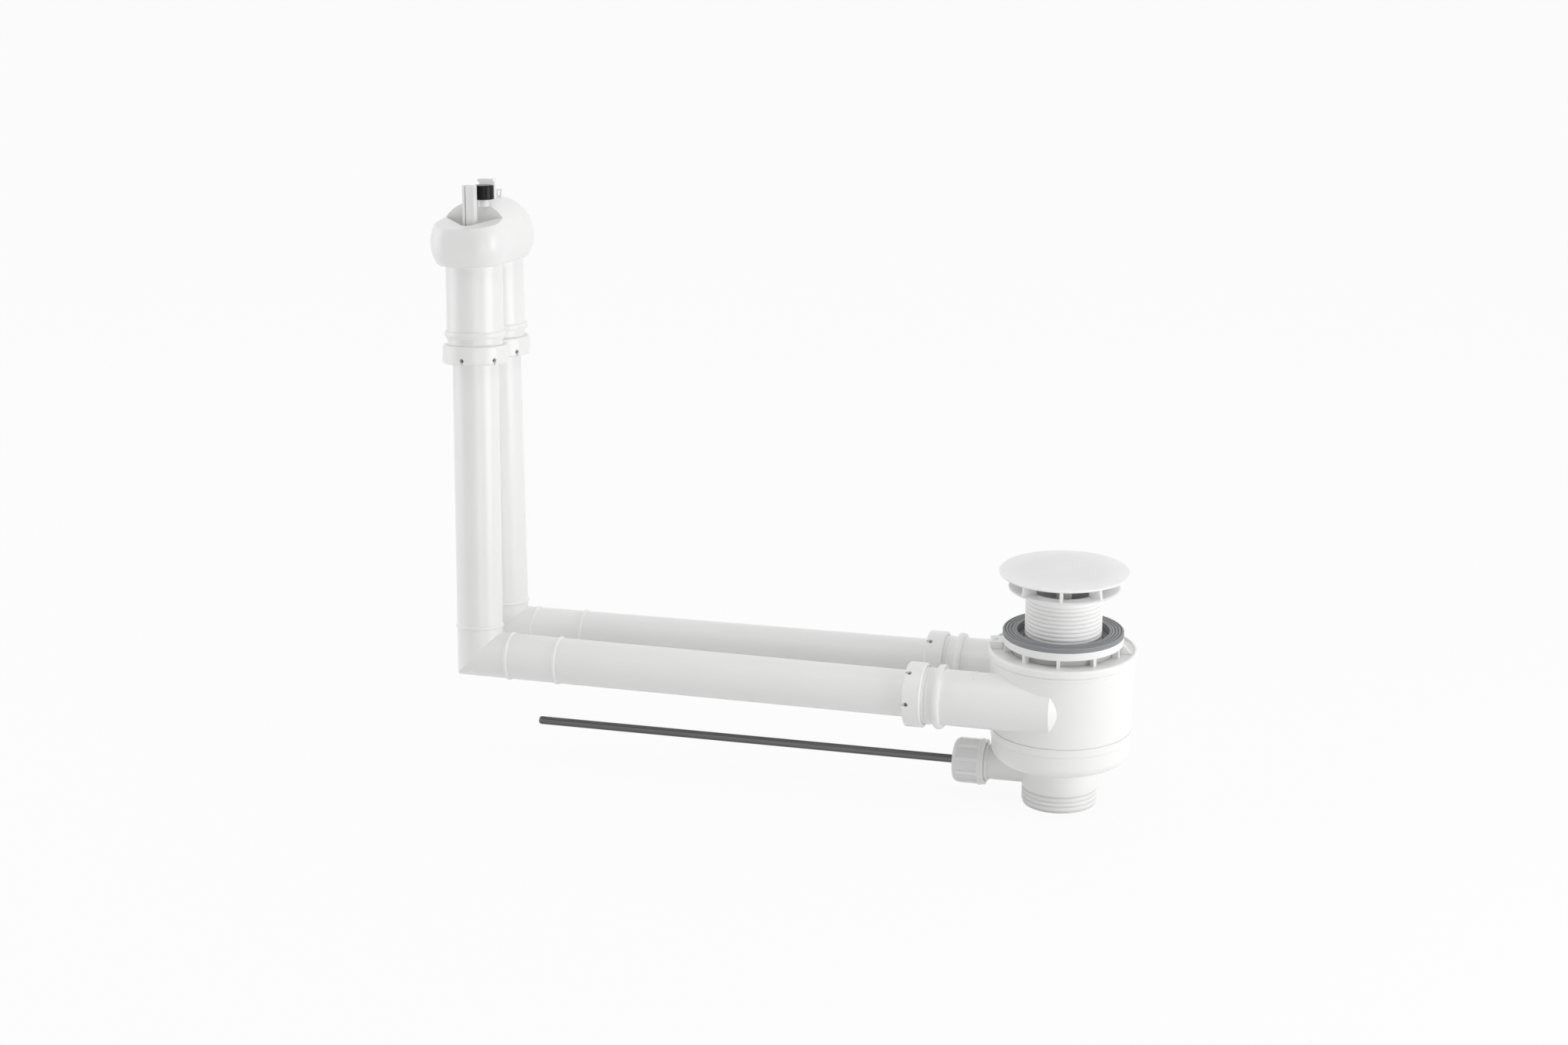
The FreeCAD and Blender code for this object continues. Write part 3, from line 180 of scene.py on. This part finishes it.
@dataclass
class NodeSheet:
    """A material's node tree with short calls for the nodes that the finishes share."""

    material: bpy.types.Material
    tree: bpy.types.NodeTree = field(init=False)
    shader: bpy.types.ShaderNode = field(init=False)
    place: bpy.types.ShaderNode = field(init=False)

    def __post_init__(self) -> None:
        """Starts the tree with one Principled shader."""
        self.material.use_nodes = True
        self.tree = self.material.node_tree
        self.shader = self.tree.nodes["Principled BSDF"]
        self.place = self.tree.nodes.new("ShaderNodeTexCoord")

    def coordinates(self, grain: Grain) -> bpy.types.NodeSocket:
        """Returns object coordinates, stretched the way that the grain runs.

        Args:
            grain: The way that the structure runs.

        Returns:
            The socket that holds the coordinates.
        """
        mapping = self.tree.nodes.new("ShaderNodeMapping")
        mapping.inputs["Scale"].default_value = grain.value
        self.tree.links.new(self.place.outputs["Object"], mapping.inputs["Vector"])
        return mapping.outputs["Vector"]

    def noise(self, pattern: Pattern) -> bpy.types.NodeSocket:
        """Adds a noise pattern.

        Args:
            pattern: The pattern.

        Returns:
            The socket that holds values around one half.
        """
        node = self.tree.nodes.new("ShaderNodeTexNoise")
        node.inputs["Scale"].default_value = pattern.scale
        node.inputs["Detail"].default_value = pattern.detail
        node.inputs["Roughness"].default_value = pattern.roughness
        self.tree.links.new(self.coordinates(pattern.grain), node.inputs["Vector"])
        return node.outputs["Fac"]

    def arithmetic(self, operation: str, first: bpy.types.NodeSocket, second: float) -> bpy.types.NodeSocket:
        """Adds one step of arithmetic.

        Args:
            operation: Name of the operation.
            first: The value that it works on.
            second: The constant beside it, also the third value where the operation takes three.

        Returns:
            The socket that holds the result.
        """
        node = self.tree.nodes.new("ShaderNodeMath")
        node.operation = operation
        node.inputs[1].default_value = second
        node.inputs[2].default_value = second
        self.tree.links.new(first, node.inputs[0])
        return node.outputs["Value"]

    def vector_step(
        self, operation: str, first: bpy.types.NodeSocket, second: Point = (0.0, 0.0, 0.0)
    ) -> bpy.types.ShaderNode:
        """Adds one step of vector arithmetic.

        Args:
            operation: Name of the operation.
            first: The vector that it works on.
            second: The constant beside it.

        Returns:
            The node.
        """
        node = self.tree.nodes.new("ShaderNodeVectorMath")
        node.operation = operation
        node.inputs[1].default_value = second
        self.tree.links.new(first, node.inputs[0])
        return node

    def distance(self, axis: Axis) -> bpy.types.NodeSocket:
        """Measures how far a point is from an axis.

        Args:
            axis: The axis.

        Returns:
            The socket that holds the distance in metres.
        """
        offset = self.vector_step("SUBTRACT", self.place.outputs["Object"], axis.point)
        across = self.vector_step("MULTIPLY", offset.outputs["Vector"], axis.across)
        return self.vector_step("LENGTH", across.outputs["Vector"]).outputs["Value"]

    def rings(self, radius: float, pitch: float, sharpness: float) -> bpy.types.NodeSocket:
        """Adds thin rings around the upright axis of the waste.

        Args:
            radius: Radius of one of the rings in metres.
            pitch: Distance between the rings in metres.
            sharpness: Higher values make the rings thinner.

        Returns:
            The socket that holds 1 on a ring and 0 between the rings.
        """
        phase = self.arithmetic("SUBTRACT", self.distance(UPRIGHT), radius)
        wave = self.arithmetic("COSINE", self.arithmetic("MULTIPLY", phase, math.tau / pitch), 0.0)
        return self.arithmetic("POWER", self.arithmetic("MULTIPLY_ADD", wave, 0.5), sharpness)

    def height(self) -> bpy.types.NodeSocket:
        """Measures the height over the origin.

        Returns:
            The socket that holds the height in metres.
        """
        axes = self.tree.nodes.new("ShaderNodeSeparateXYZ")
        self.tree.links.new(self.place.outputs["Object"], axes.inputs["Vector"])
        return axes.outputs["Z"]

    def spread(
        self, value: bpy.types.NodeSocket, result: Span, given: Span = PATTERN_MIDDLE
    ) -> bpy.types.NodeSocket:
        """Maps one span of values to another.

        Args:
            value: The value.
            result: Span that comes out.
            given: Span of the value that gives it, by default the middle of a noise pattern.

        Returns:
            The socket that holds the result.
        """
        node = self.tree.nodes.new("ShaderNodeMapRange")
        node.inputs["From Min"].default_value = given.first
        node.inputs["From Max"].default_value = given.last
        node.inputs["To Min"].default_value = result.first
        node.inputs["To Max"].default_value = result.last
        self.tree.links.new(value, node.inputs["Value"])
        return node.outputs["Result"]

    def blend(self, value: bpy.types.NodeSocket, first: Colour, second: Colour) -> bpy.types.NodeSocket:
        """Mixes two colours by a pattern.

        Args:
            value: The pattern, from 0 to 1.
            first: Colour where it is 0.
            second: Colour where it is 1.

        Returns:
            The socket that holds the mixed colour.
        """
        node = self.tree.nodes.new("ShaderNodeMix")
        node.data_type = "RGBA"
        colours = [socket for socket in node.inputs if socket.type == "RGBA"]
        colours[0].default_value = with_alpha(first)
        colours[1].default_value = with_alpha(second)
        self.tree.links.new(value, node.inputs["Factor"])
        return next(socket for socket in node.outputs if socket.type == "RGBA")

    def shade(self, colour: bpy.types.NodeSocket, groove: PaintedGrooveShade) -> bpy.types.NodeSocket:
        """Paints shade into a colour between ridges.

        Args:
            colour: The colour on the ridges.
            groove: Where the ridges are and how dark the painted shade gets between them.

        Returns:
            The socket that holds the colour with the painted shade.
        """
        distance = self.distance(groove.axis)
        # Painted shade: the colour is scaled down from the crest to the root.
        level = self.spread(distance, Span(groove.painted_shade_level, 1.0), Span(groove.root, groove.crest))
        node = self.tree.nodes.new("ShaderNodeVectorMath")
        node.operation = "SCALE"
        self.tree.links.new(colour, node.inputs["Vector"])
        self.tree.links.new(level, node.inputs["Scale"])
        return node.outputs["Vector"]

    def raise_surface(self, relief: Relief) -> None:
        """Gives the surface a fine relief.

        Args:
            relief: The relief.
        """
        node = self.tree.nodes.new("ShaderNodeBump")
        node.inputs["Distance"].default_value = relief.depth
        node.inputs["Strength"].default_value = relief.strength
        self.tree.links.new(self.noise(relief.pattern), node.inputs["Height"])
        self.feed(node.outputs["Normal"], "Normal")

    def feed(self, value: bpy.types.NodeSocket, name: str) -> None:
        """Links a value to an input of the shader."""
        self.tree.links.new(value, self.shader.inputs[name])

    def fix(self, name: str, value: float | Colour) -> None:
        """Sets a constant on an input of the shader."""
        self.shader.inputs[name].default_value = value


@dataclass(frozen=True)
class Finish(ABC):
    """What all finishes share: a name and a colour."""

    name: str
    colour: Colour

    @abstractmethod
    def paint(self, sheet: NodeSheet) -> None:
        """Fills the node tree of the finish.

        Args:
            sheet: The tree.
        """

    def material(self) -> bpy.types.Material:
        """Builds the material.

        Returns:
            The finished material.
        """
        sheet = NodeSheet(bpy.data.materials.new(self.name))
        self.paint(sheet)
        return sheet.material


@dataclass(frozen=True)
class MouldedPlastic(Finish):
    """Injection moulded plastic: a faint cloud in its colour, painted shade between ridges where a groove is
    given, and a satin skin that lets a little light in.
    """

    cloud: float = 0.985
    cloud_pattern: Pattern = Pattern(22.0, detail=3.0)
    roughness: Span = Span(0.28, 0.31)
    roughness_pattern: Pattern = Pattern(75.0)
    relief: Relief = Relief(Pattern(1500.0), depth=0.000004, strength=0.25)
    density: float = 1.49
    softness: float = 0.1
    soft_depth: float = 0.001
    soft_reach: Point = (1.0, 1.0, 1.0)
    # Where given, shade is painted into the colour between the ridges.
    groove: PaintedGrooveShade | None = None
    thin_above: float | None = None
    thin_softness: float = 1.0
    thin_step: float = 0.001

    def paint(self, sheet: NodeSheet) -> None:
        """Fills the node tree of the finish.

        Args:
            sheet: The tree.
        """
        cloud = sheet.spread(sheet.noise(self.cloud_pattern), WHOLE)
        colour = sheet.blend(cloud, darker(self.colour, self.cloud), self.colour)
        # Painted shade between the ridges, where there are any.
        if self.groove is not None:
            colour = sheet.shade(colour, self.groove)
        sheet.feed(colour, "Base Color")
        sheet.feed(sheet.spread(sheet.noise(self.roughness_pattern), self.roughness), "Roughness")
        sheet.raise_surface(self.relief)
        sheet.fix("IOR", self.density)
        sheet.fix("Subsurface Weight", self.softness)
        sheet.fix("Subsurface Scale", self.soft_depth)
        sheet.fix("Subsurface Radius", self.soft_reach)
        if self.thin_above is not None:
            step = Span(self.thin_above, self.thin_above + self.thin_step)
            softness = sheet.spread(sheet.height(), Span(self.softness, self.thin_softness), step)
            sheet.feed(softness, "Subsurface Weight")


@dataclass(frozen=True)
class SealRubber(Finish):
    """Matt grey rubber whose moulded rings are drawn as dark rings of painted shade, with a fine powdery skin.
    """

    # Share of the colour kept in the rings of painted shade.
    painted_ring_shade: float = 0.5
    ring_radius: float = 0.0359
    ring_pitch: float = 0.0019
    ring_sharpness: float = 3.0
    roughness: Span = Span(0.55, 0.7)
    roughness_pattern: Pattern = Pattern(160.0)
    relief: Relief = Relief(Pattern(2600.0, detail=3.0), depth=0.00006, strength=0.35)
    density: float = 1.5

    def paint(self, sheet: NodeSheet) -> None:
        """Fills the node tree of the finish.

        Args:
            sheet: The tree.
        """
        rings = sheet.rings(self.ring_radius, self.ring_pitch, self.ring_sharpness)
        # The rings are painted shade, darker than the rubber's own grey.
        sheet.feed(sheet.blend(rings, self.colour, darker(self.colour, self.painted_ring_shade)), "Base Color")
        sheet.feed(sheet.spread(sheet.noise(self.roughness_pattern), self.roughness), "Roughness")
        sheet.raise_surface(self.relief)
        sheet.fix("IOR", self.density)


@dataclass(frozen=True)
class DrawnSteel(Finish):
    """Dark drawn steel with streaks along the bar."""

    streak: float = 0.25
    streak_pattern: Pattern = Pattern(420.0, grain=Grain.ALONG_X)
    roughness: Span = Span(0.24, 0.4)
    roughness_pattern: Pattern = Pattern(700.0, grain=Grain.ALONG_X)
    relief: Relief = Relief(Pattern(1500.0, grain=Grain.ALONG_X), depth=0.00003, strength=0.3)

    def paint(self, sheet: NodeSheet) -> None:
        """Fills the node tree of the finish.

        Args:
            sheet: The tree.
        """
        streaks = sheet.spread(sheet.noise(self.streak_pattern), WHOLE)
        sheet.feed(sheet.blend(streaks, darker(self.colour, self.streak), self.colour), "Base Color")
        sheet.feed(sheet.spread(sheet.noise(self.roughness_pattern), self.roughness), "Roughness")
        sheet.raise_surface(self.relief)
        sheet.fix("Metallic", 1.0)


FINISHES: dict[Slot, Finish] = {
    Slot.WHITE: MouldedPlastic("white moulded plastic", WHITE),
    Slot.NUT: MouldedPlastic(
        "pale natural plastic with painted shade between ribs",
        (0.88, 0.885, 0.88),
        cloud=0.97,
        softness=0.08,
        # Painted shade between the ribs around the nut.
        groove=PaintedGrooveShade(LEVER, root=0.01385, crest=0.0143, painted_shade_level=0.92),
    ),
    Slot.RUBBER: SealRubber("grey seal rubber", (0.31, 0.315, 0.325)),
    Slot.BLACK: MouldedPlastic(
        "black vent plastic",
        (0.006, 0.0065, 0.007),
        cloud=0.8,
        roughness=Span(0.24, 0.32),
        density=1.25,
        softness=0.0,
    ),
    Slot.STEEL: DrawnSteel("dark drawn steel", (0.2, 0.2, 0.205)),
}

NODE_FINISHES: dict[str, Finish] = {
    # Painted shade in the roots of the outlet's thread.
    "waste_base": MouldedPlastic(
        "white plastic with painted shade in its thread", WHITE, groove=PaintedGrooveShade(UPRIGHT, root=0.0229, crest=0.0234, painted_shade_level=0.8)
    ),
    # Painted shade, down to 0.58 of the colour, on the housing's surfaces nearer the upright axis than 32.5
    # mm: the hollow behind the seat's windows and inside the gasket's hole.
    "waste_housing": MouldedPlastic(
        "white plastic with painted shade in its hollow seat", WHITE, groove=PaintedGrooveShade(UPRIGHT, root=0.0325, crest=0.0335, painted_shade_level=0.58)
    ),
    "waste_flange": MouldedPlastic(
        "white plastic with a thin dish",
        (0.92, 0.92, 0.915),
        soft_depth=0.008,
        # Painted shade in the roots of the tube's thread.
        groove=PaintedGrooveShade(UPRIGHT, root=0.0232, crest=0.0237, painted_shade_level=0.78),
        thin_above=0.1375,
    ),
    "cover_cap": MouldedPlastic("thin white plastic", (0.91, 0.91, 0.905), softness=0.9, soft_depth=0.008),
}


@dataclass
class Dresser:
    """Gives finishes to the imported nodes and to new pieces."""

    frame: dict
    slots: dict[str, Slot] = field(init=False)
    made: dict[str, bpy.types.Material] = field(default_factory=dict)

    def __post_init__(self) -> None:
        """Reads the slot of each node from the record."""
        parts = self.frame["record"]["subparts"]
        self.slots = {part["node"]: Slot(part["material_slot"]) for part in parts}

    def finish(self, slot: Slot, node: str = "") -> bpy.types.Material:
        """Returns the material of a slot or of a node with a finish of its own, built once.

        Args:
            slot: The record's material slot.
            node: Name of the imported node, if it is one.

        Returns:
            The shared material.
        """
        finish = NODE_FINISHES.get(node, FINISHES[slot])
        if finish.name not in self.made:
            self.made[finish.name] = finish.material()
        return self.made[finish.name]

    def dress_node(self, node: str) -> None:
        """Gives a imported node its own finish, or that of its slot.

        Args:
            node: Name of the node.
        """
        mesh = self.frame["nodes"][node].data
        mesh.materials.clear()
        mesh.materials.append(self.finish(self.slots[node], node))
        log.info("%s: %s", node, mesh.materials[0].name)

    def dress_nodes(self, nodes: Sequence[str]) -> None:
        """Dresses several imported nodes."""
        for node in nodes:
            self.dress_node(node)


def added_piece(name: str, shape: bmesh.types.BMesh, dresser: Dresser) -> bpy.types.Object:
    """Makes an object of a finished shape, in white plastic, that moves with the waste.

    Args:
        name: Name of the new piece.
        shape: Its form in the frame of the part, freed here.
        dresser: Gives the finishes.

    Returns:
        The new object.
    """
    mesh = bpy.data.meshes.new(name)
    shape.to_mesh(mesh)
    shape.free()
    mesh.materials.append(dresser.finish(Slot.WHITE))
    piece = bpy.data.objects.new(name, mesh)
    bpy.context.scene.collection.objects.link(piece)
    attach(piece, "waste")
    return piece


@dataclass(frozen=True)
class BranchMark:
    """Thin ridge that the mould leaves across the top of the front branch."""

    along: float = -0.0491
    width: float = 0.0009
    axis_offset: float = 0.0315
    axis_height: float = PIPE_HEIGHT
    toe_in_deg: float = -0.82
    inner_radius: float = 0.0171
    outer_radius: float = 0.01775
    start_deg: float = 66.0
    end_deg: float = 112.0
    steps: int = 24

    def place(self) -> Matrix:
        """Gives the placement of the branch's own frame.

        Returns:
            The placement.
        """
        start = Matrix.Translation((0.0, -self.axis_offset, self.axis_height))
        return start @ Matrix.Rotation(math.radians(self.toe_in_deg), 4, "Z")

    def build(self, dresser: Dresser) -> None:
        """Makes the ridge.

        Args:
            dresser: Gives the finishes.
        """
        shape = bmesh.new()
        first = math.radians(self.start_deg)
        corners = [
            Vector((self.along + dx, -radius * math.cos(first), radius * math.sin(first)))
            for dx, radius in (
                (0.0, self.inner_radius),
                (self.width, self.inner_radius),
                (self.width, self.outer_radius),
                (0.0, self.outer_radius),
            )
        ]
        profile = shape.faces.new([shape.verts.new(corner) for corner in corners])
        bmesh.ops.spin(
            shape,
            geom=[profile, *profile.edges, *profile.verts],
            cent=(0.0, 0.0, 0.0),
            axis=(-1.0, 0.0, 0.0),
            angle=math.radians(self.end_deg - self.start_deg),
            steps=self.steps,
        )
        shape.faces.new([shape.verts.new(corner) for corner in corners])
        bmesh.ops.remove_doubles(shape, verts=shape.verts, dist=MERGE_DISTANCE)
        bmesh.ops.recalc_face_normals(shape, faces=shape.faces)
        bmesh.ops.transform(shape, matrix=self.place(), verts=shape.verts)
        added_piece("branch_mark", shape, dresser)


class SubAssembly(ABC):
    """Pieces of the product that belong together."""

    @abstractmethod
    def node_names(self) -> Sequence[str]:
        """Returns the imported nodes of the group."""

    def add_pieces(self, dresser: Dresser) -> None:
        """Adds the pieces that only the scene has, which most groups don't need."""

    def build(self, dresser: Dresser) -> None:
        """Dresses the nodes of the group and adds its new pieces.

        Args:
            dresser: Gives the finishes.
        """
        dresser.dress_nodes(self.node_names())
        self.add_pieces(dresser)


@dataclass
class WasteBody(SubAssembly):
    """Base, housing and the valve inside them."""

    mark: BranchMark = BranchMark()

    def node_names(self) -> Sequence[str]:
        """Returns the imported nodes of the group."""
        return ("waste_base", "waste_housing", "valve_plate", "plate_seal", "plug", "plug_seal")

    def add_pieces(self, dresser: Dresser) -> None:
        """Adds the mould's mark."""
        self.mark.build(dresser)


@dataclass
class BathInlet(SubAssembly):
    """Gasket, flange and cap, which hold the floor of the bath between them."""

    def node_names(self) -> Sequence[str]:
        """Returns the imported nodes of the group."""
        return ("bath_gasket", "waste_flange", "cover_cap")


@dataclass
class LeverGroup(SubAssembly):
    """Lever rod, its ball, the rings around the ball and the nut."""

    def node_names(self) -> Sequence[str]:
        """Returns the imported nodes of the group."""
        return ("lever_rod", "rod_ball", "ball_seat", "ball_washer", "rod_nut")


@dataclass
class PipeRun(SubAssembly):
    """One pipe with its two union nuts and their rings."""

    side: str

    def node_names(self) -> Sequence[str]:
        """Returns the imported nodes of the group."""
        pieces = ("pipe", "branch_nut", "branch_seal", "riser_nut", "riser_seal")
        return tuple(f"{self.side}_{piece}" for piece in pieces)


@dataclass(frozen=True)
class ClipBar:
    """Flat bar inside the clip of the head, which leaves only a narrow groove beside it."""

    low: Point = (-0.0002, -0.03285, 0.0762)
    high: Point = (0.004, -0.0284, 0.1092)
    corner: Point = (-0.3719619, 0.0, PIPE_HEIGHT)
    rise: float = 0.1867104
    lean_deg: float = -7.0
    opening_deg: float = -2.5
    edge: float = 0.0002
    edge_segments: int = 2

    def place(self) -> Matrix:
        """Gives the placement of the head's own frame.

        Returns:
            The placement.
        """
        turn = Matrix.Rotation(math.radians(self.lean_deg), 4, "X")
        turn = turn @ Matrix.Rotation(math.radians(self.opening_deg), 4, "Y")
        return Matrix.Translation(self.corner) @ turn @ Matrix.Translation((0.0, 0.0, self.rise))

    def build(self, dresser: Dresser) -> None:
        """Makes the bar.

        Args:
            dresser: Gives the finishes.
        """
        shape = bmesh.new()
        bmesh.ops.create_cube(shape, size=1.0)
        low, high = Vector(self.low), Vector(self.high)
        bmesh.ops.scale(shape, vec=high - low, verts=shape.verts)
        bmesh.ops.translate(shape, vec=(high + low) / 2, verts=shape.verts)
        bmesh.ops.bevel(
            shape,
            geom=shape.edges[:],
            offset=self.edge,
            segments=self.edge_segments,
            profile=0.5,
            affect="EDGES",
            material=-1,
        )
        bmesh.ops.transform(shape, matrix=self.place(), verts=shape.verts)
        added_piece("clip_bar", shape, dresser)


@dataclass
class OverflowHead(SubAssembly):
    """Closed head with its vent."""

    bar: ClipBar = ClipBar()

    def node_names(self) -> Sequence[str]:
        """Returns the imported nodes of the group."""
        return ("overflow_head", "vent_cap")

    def add_pieces(self, dresser: Dresser) -> None:
        """Adds the bar of the clip."""
        self.bar.build(dresser)


@dataclass
class PhotographCamera:
    """Camera at the photograph's view, given by its angles around a point on the part."""

    focal_pixels: float = 4653.39
    azimuth_deg: float = 14.34
    elevation_deg: float = 17.56
    roll_deg: float = 0.11
    distance: float = 2.25362
    sideways: float = -0.02762
    upwards: float = 0.01976
    target: Point = (-0.150, 0.0, 0.150)
    nearest: float = 0.05
    farthest: float = 60.0

    def directions(self) -> tuple[Vector, Vector, Vector]:
        """Finds the camera's own axes from its angles.

        Returns:
            The directions right, up and back, away from the part.
        """
        azimuth = math.radians(self.azimuth_deg)
        elevation = math.radians(self.elevation_deg)
        level = math.cos(elevation)
        back = Vector((math.sin(azimuth) * level, -math.cos(azimuth) * level, math.sin(elevation)))
        unrolled = Vector((math.cos(azimuth), math.sin(azimuth), 0.0))
        right = Matrix.Rotation(math.radians(self.roll_deg), 3, back) @ unrolled
        return right, back.cross(right), back

    def build(self) -> None:
        """Makes the camera and sets it as the scene's."""
        right, up, back = self.directions()
        place = Vector(self.target) + back * self.distance + right * self.sideways + up * self.upwards
        data = bpy.data.cameras.new("photograph_camera")
        data.sensor_width = SENSOR_WIDTH_MM
        data.lens = self.focal_pixels / PHOTOGRAPH_WIDTH * SENSOR_WIDTH_MM
        data.clip_start = self.nearest
        data.clip_end = self.farthest
        camera = bpy.data.objects.new("photograph_camera", data)
        camera.matrix_world = Matrix.Translation(place) @ Matrix((right, up, back)).transposed().to_4x4()
        bpy.context.scene.collection.objects.link(camera)
        bpy.context.scene.camera = camera


@dataclass(frozen=True)
class SoftBox:
    """A rectangular lamp that points at the part."""

    name: str
    place: Point
    width: float
    height: float
    power: float
    aim: Point

    def build(self) -> None:
        """Makes the lamp."""
        data = bpy.data.lights.new(self.name, "AREA")
        data.shape = "RECTANGLE"
        data.size = self.width
        data.size_y = self.height
        data.energy = self.power
        lamp = bpy.data.objects.new(self.name, data)
        lamp.location = self.place
        toward = Vector(self.aim) - Vector(self.place)
        lamp.rotation_euler = toward.to_track_quat("-Z", "Y").to_euler()
        bpy.context.scene.collection.objects.link(lamp)


@dataclass
class Studio:
    """Plain pale floor, a graded world and soft lamps."""

    floor_half: float = 20.0
    floor_colour: Colour = (0.8, 0.8, 0.8)
    floor_white: float = 0.92
    world_levels: Span = Span(0.87, 0.25)
    world_facing: Span = Span(-0.2, 0.9)
    front: Point = (0.25, -0.95, 0.19)
    lamps: tuple[SoftBox, ...] = (
        SoftBox("right_lamp", (1.3, -0.33, 0.34), width=1.0, height=0.66, power=9.5, aim=(0.0, 0.0, 0.12)),
        SoftBox("left_lamp", (-1.5, -0.25, 0.36), width=0.9, height=0.7, power=3.7, aim=(-0.38, 0.0, 0.2)),
        SoftBox("upper_lamp", (0.2, -0.9, 2.3), width=1.5, height=1.5, power=10.4, aim=(-0.16, 0.0, 0.16)),
        SoftBox("front_lamp", (0.5, -1.7, 0.22), width=0.8, height=0.4, power=3.2, aim=(0.0, 0.0, 0.14)),
    )

    def background_share(self, tree: bpy.types.NodeTree, share: float) -> bpy.types.NodeSocket:
        """Finds the rays that look at the background by themselves, in a mirror or through glass.

        Args:
            tree: Node tree of the floor or of the world.
            share: Value for such rays.

        Returns:
            The socket that holds the share, 0 for all other rays.
        """
        path = tree.nodes.new("ShaderNodeLightPath")
        total = path.outputs["Is Camera Ray"]
        for name in ("Is Glossy Ray", "Is Transmission Ray"):
            either = tree.nodes.new("ShaderNodeMath")
            either.operation = "MAXIMUM"
            tree.links.new(total, either.inputs[0])
            tree.links.new(path.outputs[name], either.inputs[1])
            total = either.outputs["Value"]
        scale = tree.nodes.new("ShaderNodeMath")
        scale.operation = "MULTIPLY"
        scale.inputs[1].default_value = share
        tree.links.new(total, scale.inputs[0])
        return scale.outputs["Value"]

    def floor_material(self) -> bpy.types.Material:
        """Builds the floor's finish, pale to the camera with the part's shadow kept.

        Returns:
            The finished material.
        """
        material = bpy.data.materials.new("pale studio floor")
        material.use_nodes = True
        tree = material.node_tree
        tree.nodes.remove(tree.nodes["Principled BSDF"])
        diffuse = tree.nodes.new("ShaderNodeBsdfDiffuse")
        diffuse.inputs["Color"].default_value = with_alpha(self.floor_colour)
        glow = tree.nodes.new("ShaderNodeEmission")
        mix = tree.nodes.new("ShaderNodeMixShader")
        tree.links.new(self.background_share(tree, self.floor_white), mix.inputs["Fac"])
        tree.links.new(diffuse.outputs["BSDF"], mix.inputs[1])
        tree.links.new(glow.outputs["Emission"], mix.inputs[2])
        tree.links.new(mix.outputs["Shader"], tree.nodes["Material Output"].inputs["Surface"])
        return material

    def build_floor(self, height: float) -> None:
        """Lays the floor under the part.

        Args:
            height: Lowest point of the part.
        """
        mesh = bpy.data.meshes.new("studio_floor")
        shape = bmesh.new()
        bmesh.ops.create_grid(shape, x_segments=1, y_segments=1, size=self.floor_half)
        bmesh.ops.translate(shape, verts=shape.verts, vec=(0.0, 0.0, height))
        shape.to_mesh(mesh)
        shape.free()
        mesh.materials.append(self.floor_material())
        floor = bpy.data.objects.new("studio_floor", mesh)
        bpy.context.scene.collection.objects.link(floor)
        floor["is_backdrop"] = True

    def graded_level(self, tree: bpy.types.NodeTree) -> bpy.types.NodeSocket:
        """Grades the world's strength, weakest on the side that the camera stands on.

        Args:
            tree: Node tree of the world.

        Returns:
            The socket that holds the strength.
        """
        direction = tree.nodes.new("ShaderNodeTexCoord")
        facing = tree.nodes.new("ShaderNodeVectorMath")
        facing.operation = "DOT_PRODUCT"
        facing.inputs[1].default_value = self.front
        tree.links.new(direction.outputs["Generated"], facing.inputs[0])
        grade = tree.nodes.new("ShaderNodeMapRange")
        grade.interpolation_type = "SMOOTHSTEP"
        grade.inputs["From Min"].default_value = self.world_facing.first
        grade.inputs["From Max"].default_value = self.world_facing.last
        grade.inputs["To Min"].default_value = self.world_levels.first
        grade.inputs["To Max"].default_value = self.world_levels.last
        tree.links.new(facing.outputs["Value"], grade.inputs["Value"])
        return grade.outputs["Result"]

    def build_world(self) -> None:
        """Sets a graded world that the camera sees as white."""
        world = bpy.data.worlds.new("studio_world")
        bpy.context.scene.world = world
        world.use_nodes = True
        tree = world.node_tree
        light = tree.nodes["Background"]
        light.inputs["Color"].default_value = with_alpha(LIGHT_WHITE)
        tree.links.new(self.graded_level(tree), light.inputs["Strength"])
        white = tree.nodes.new("ShaderNodeBackground")
        white.inputs["Color"].default_value = with_alpha(LIGHT_WHITE)
        white.inputs["Strength"].default_value = 1.0
        mix = tree.nodes.new("ShaderNodeMixShader")
        tree.links.new(self.background_share(tree, 1.0), mix.inputs["Fac"])
        tree.links.new(light.outputs["Background"], mix.inputs[1])
        tree.links.new(white.outputs["Background"], mix.inputs[2])
        tree.links.new(mix.outputs["Shader"], tree.nodes["World Output"].inputs["Surface"])

    def build(self, height: float) -> None:
        """Builds the studio.

        Args:
            height: Lowest point of the part, where the floor lies.
        """
        bpy.context.scene.view_settings.view_transform = "Standard"
        self.build_world()
        self.build_floor(height)
        for lamp in self.lamps:
            lamp.build()


def plain_box(corners: Sequence[Vector]) -> list[list[float]]:
    """Returns the two corners of a box as plain numbers."""
    return [[float(value) for value in corner] for corner in corners]


def main() -> None:
    """Builds the dressed part, the studio and the camera."""
    logging.basicConfig(level=logging.INFO, format="%(name)s %(message)s")
    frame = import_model()
    packed_box = plain_box(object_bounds())
    PhotographCamera().build()
    dresser = Dresser(frame)
    assemblies = [WasteBody(), BathInlet(), LeverGroup(), PipeRun("front"), PipeRun("back"), OverflowHead()]
    for assembly in assemblies:
        assembly.build(dresser)
        log.info("built %s", type(assembly).__name__)
    Studio().build(packed_box[0][2])


if __name__ == "__main__":
    main()
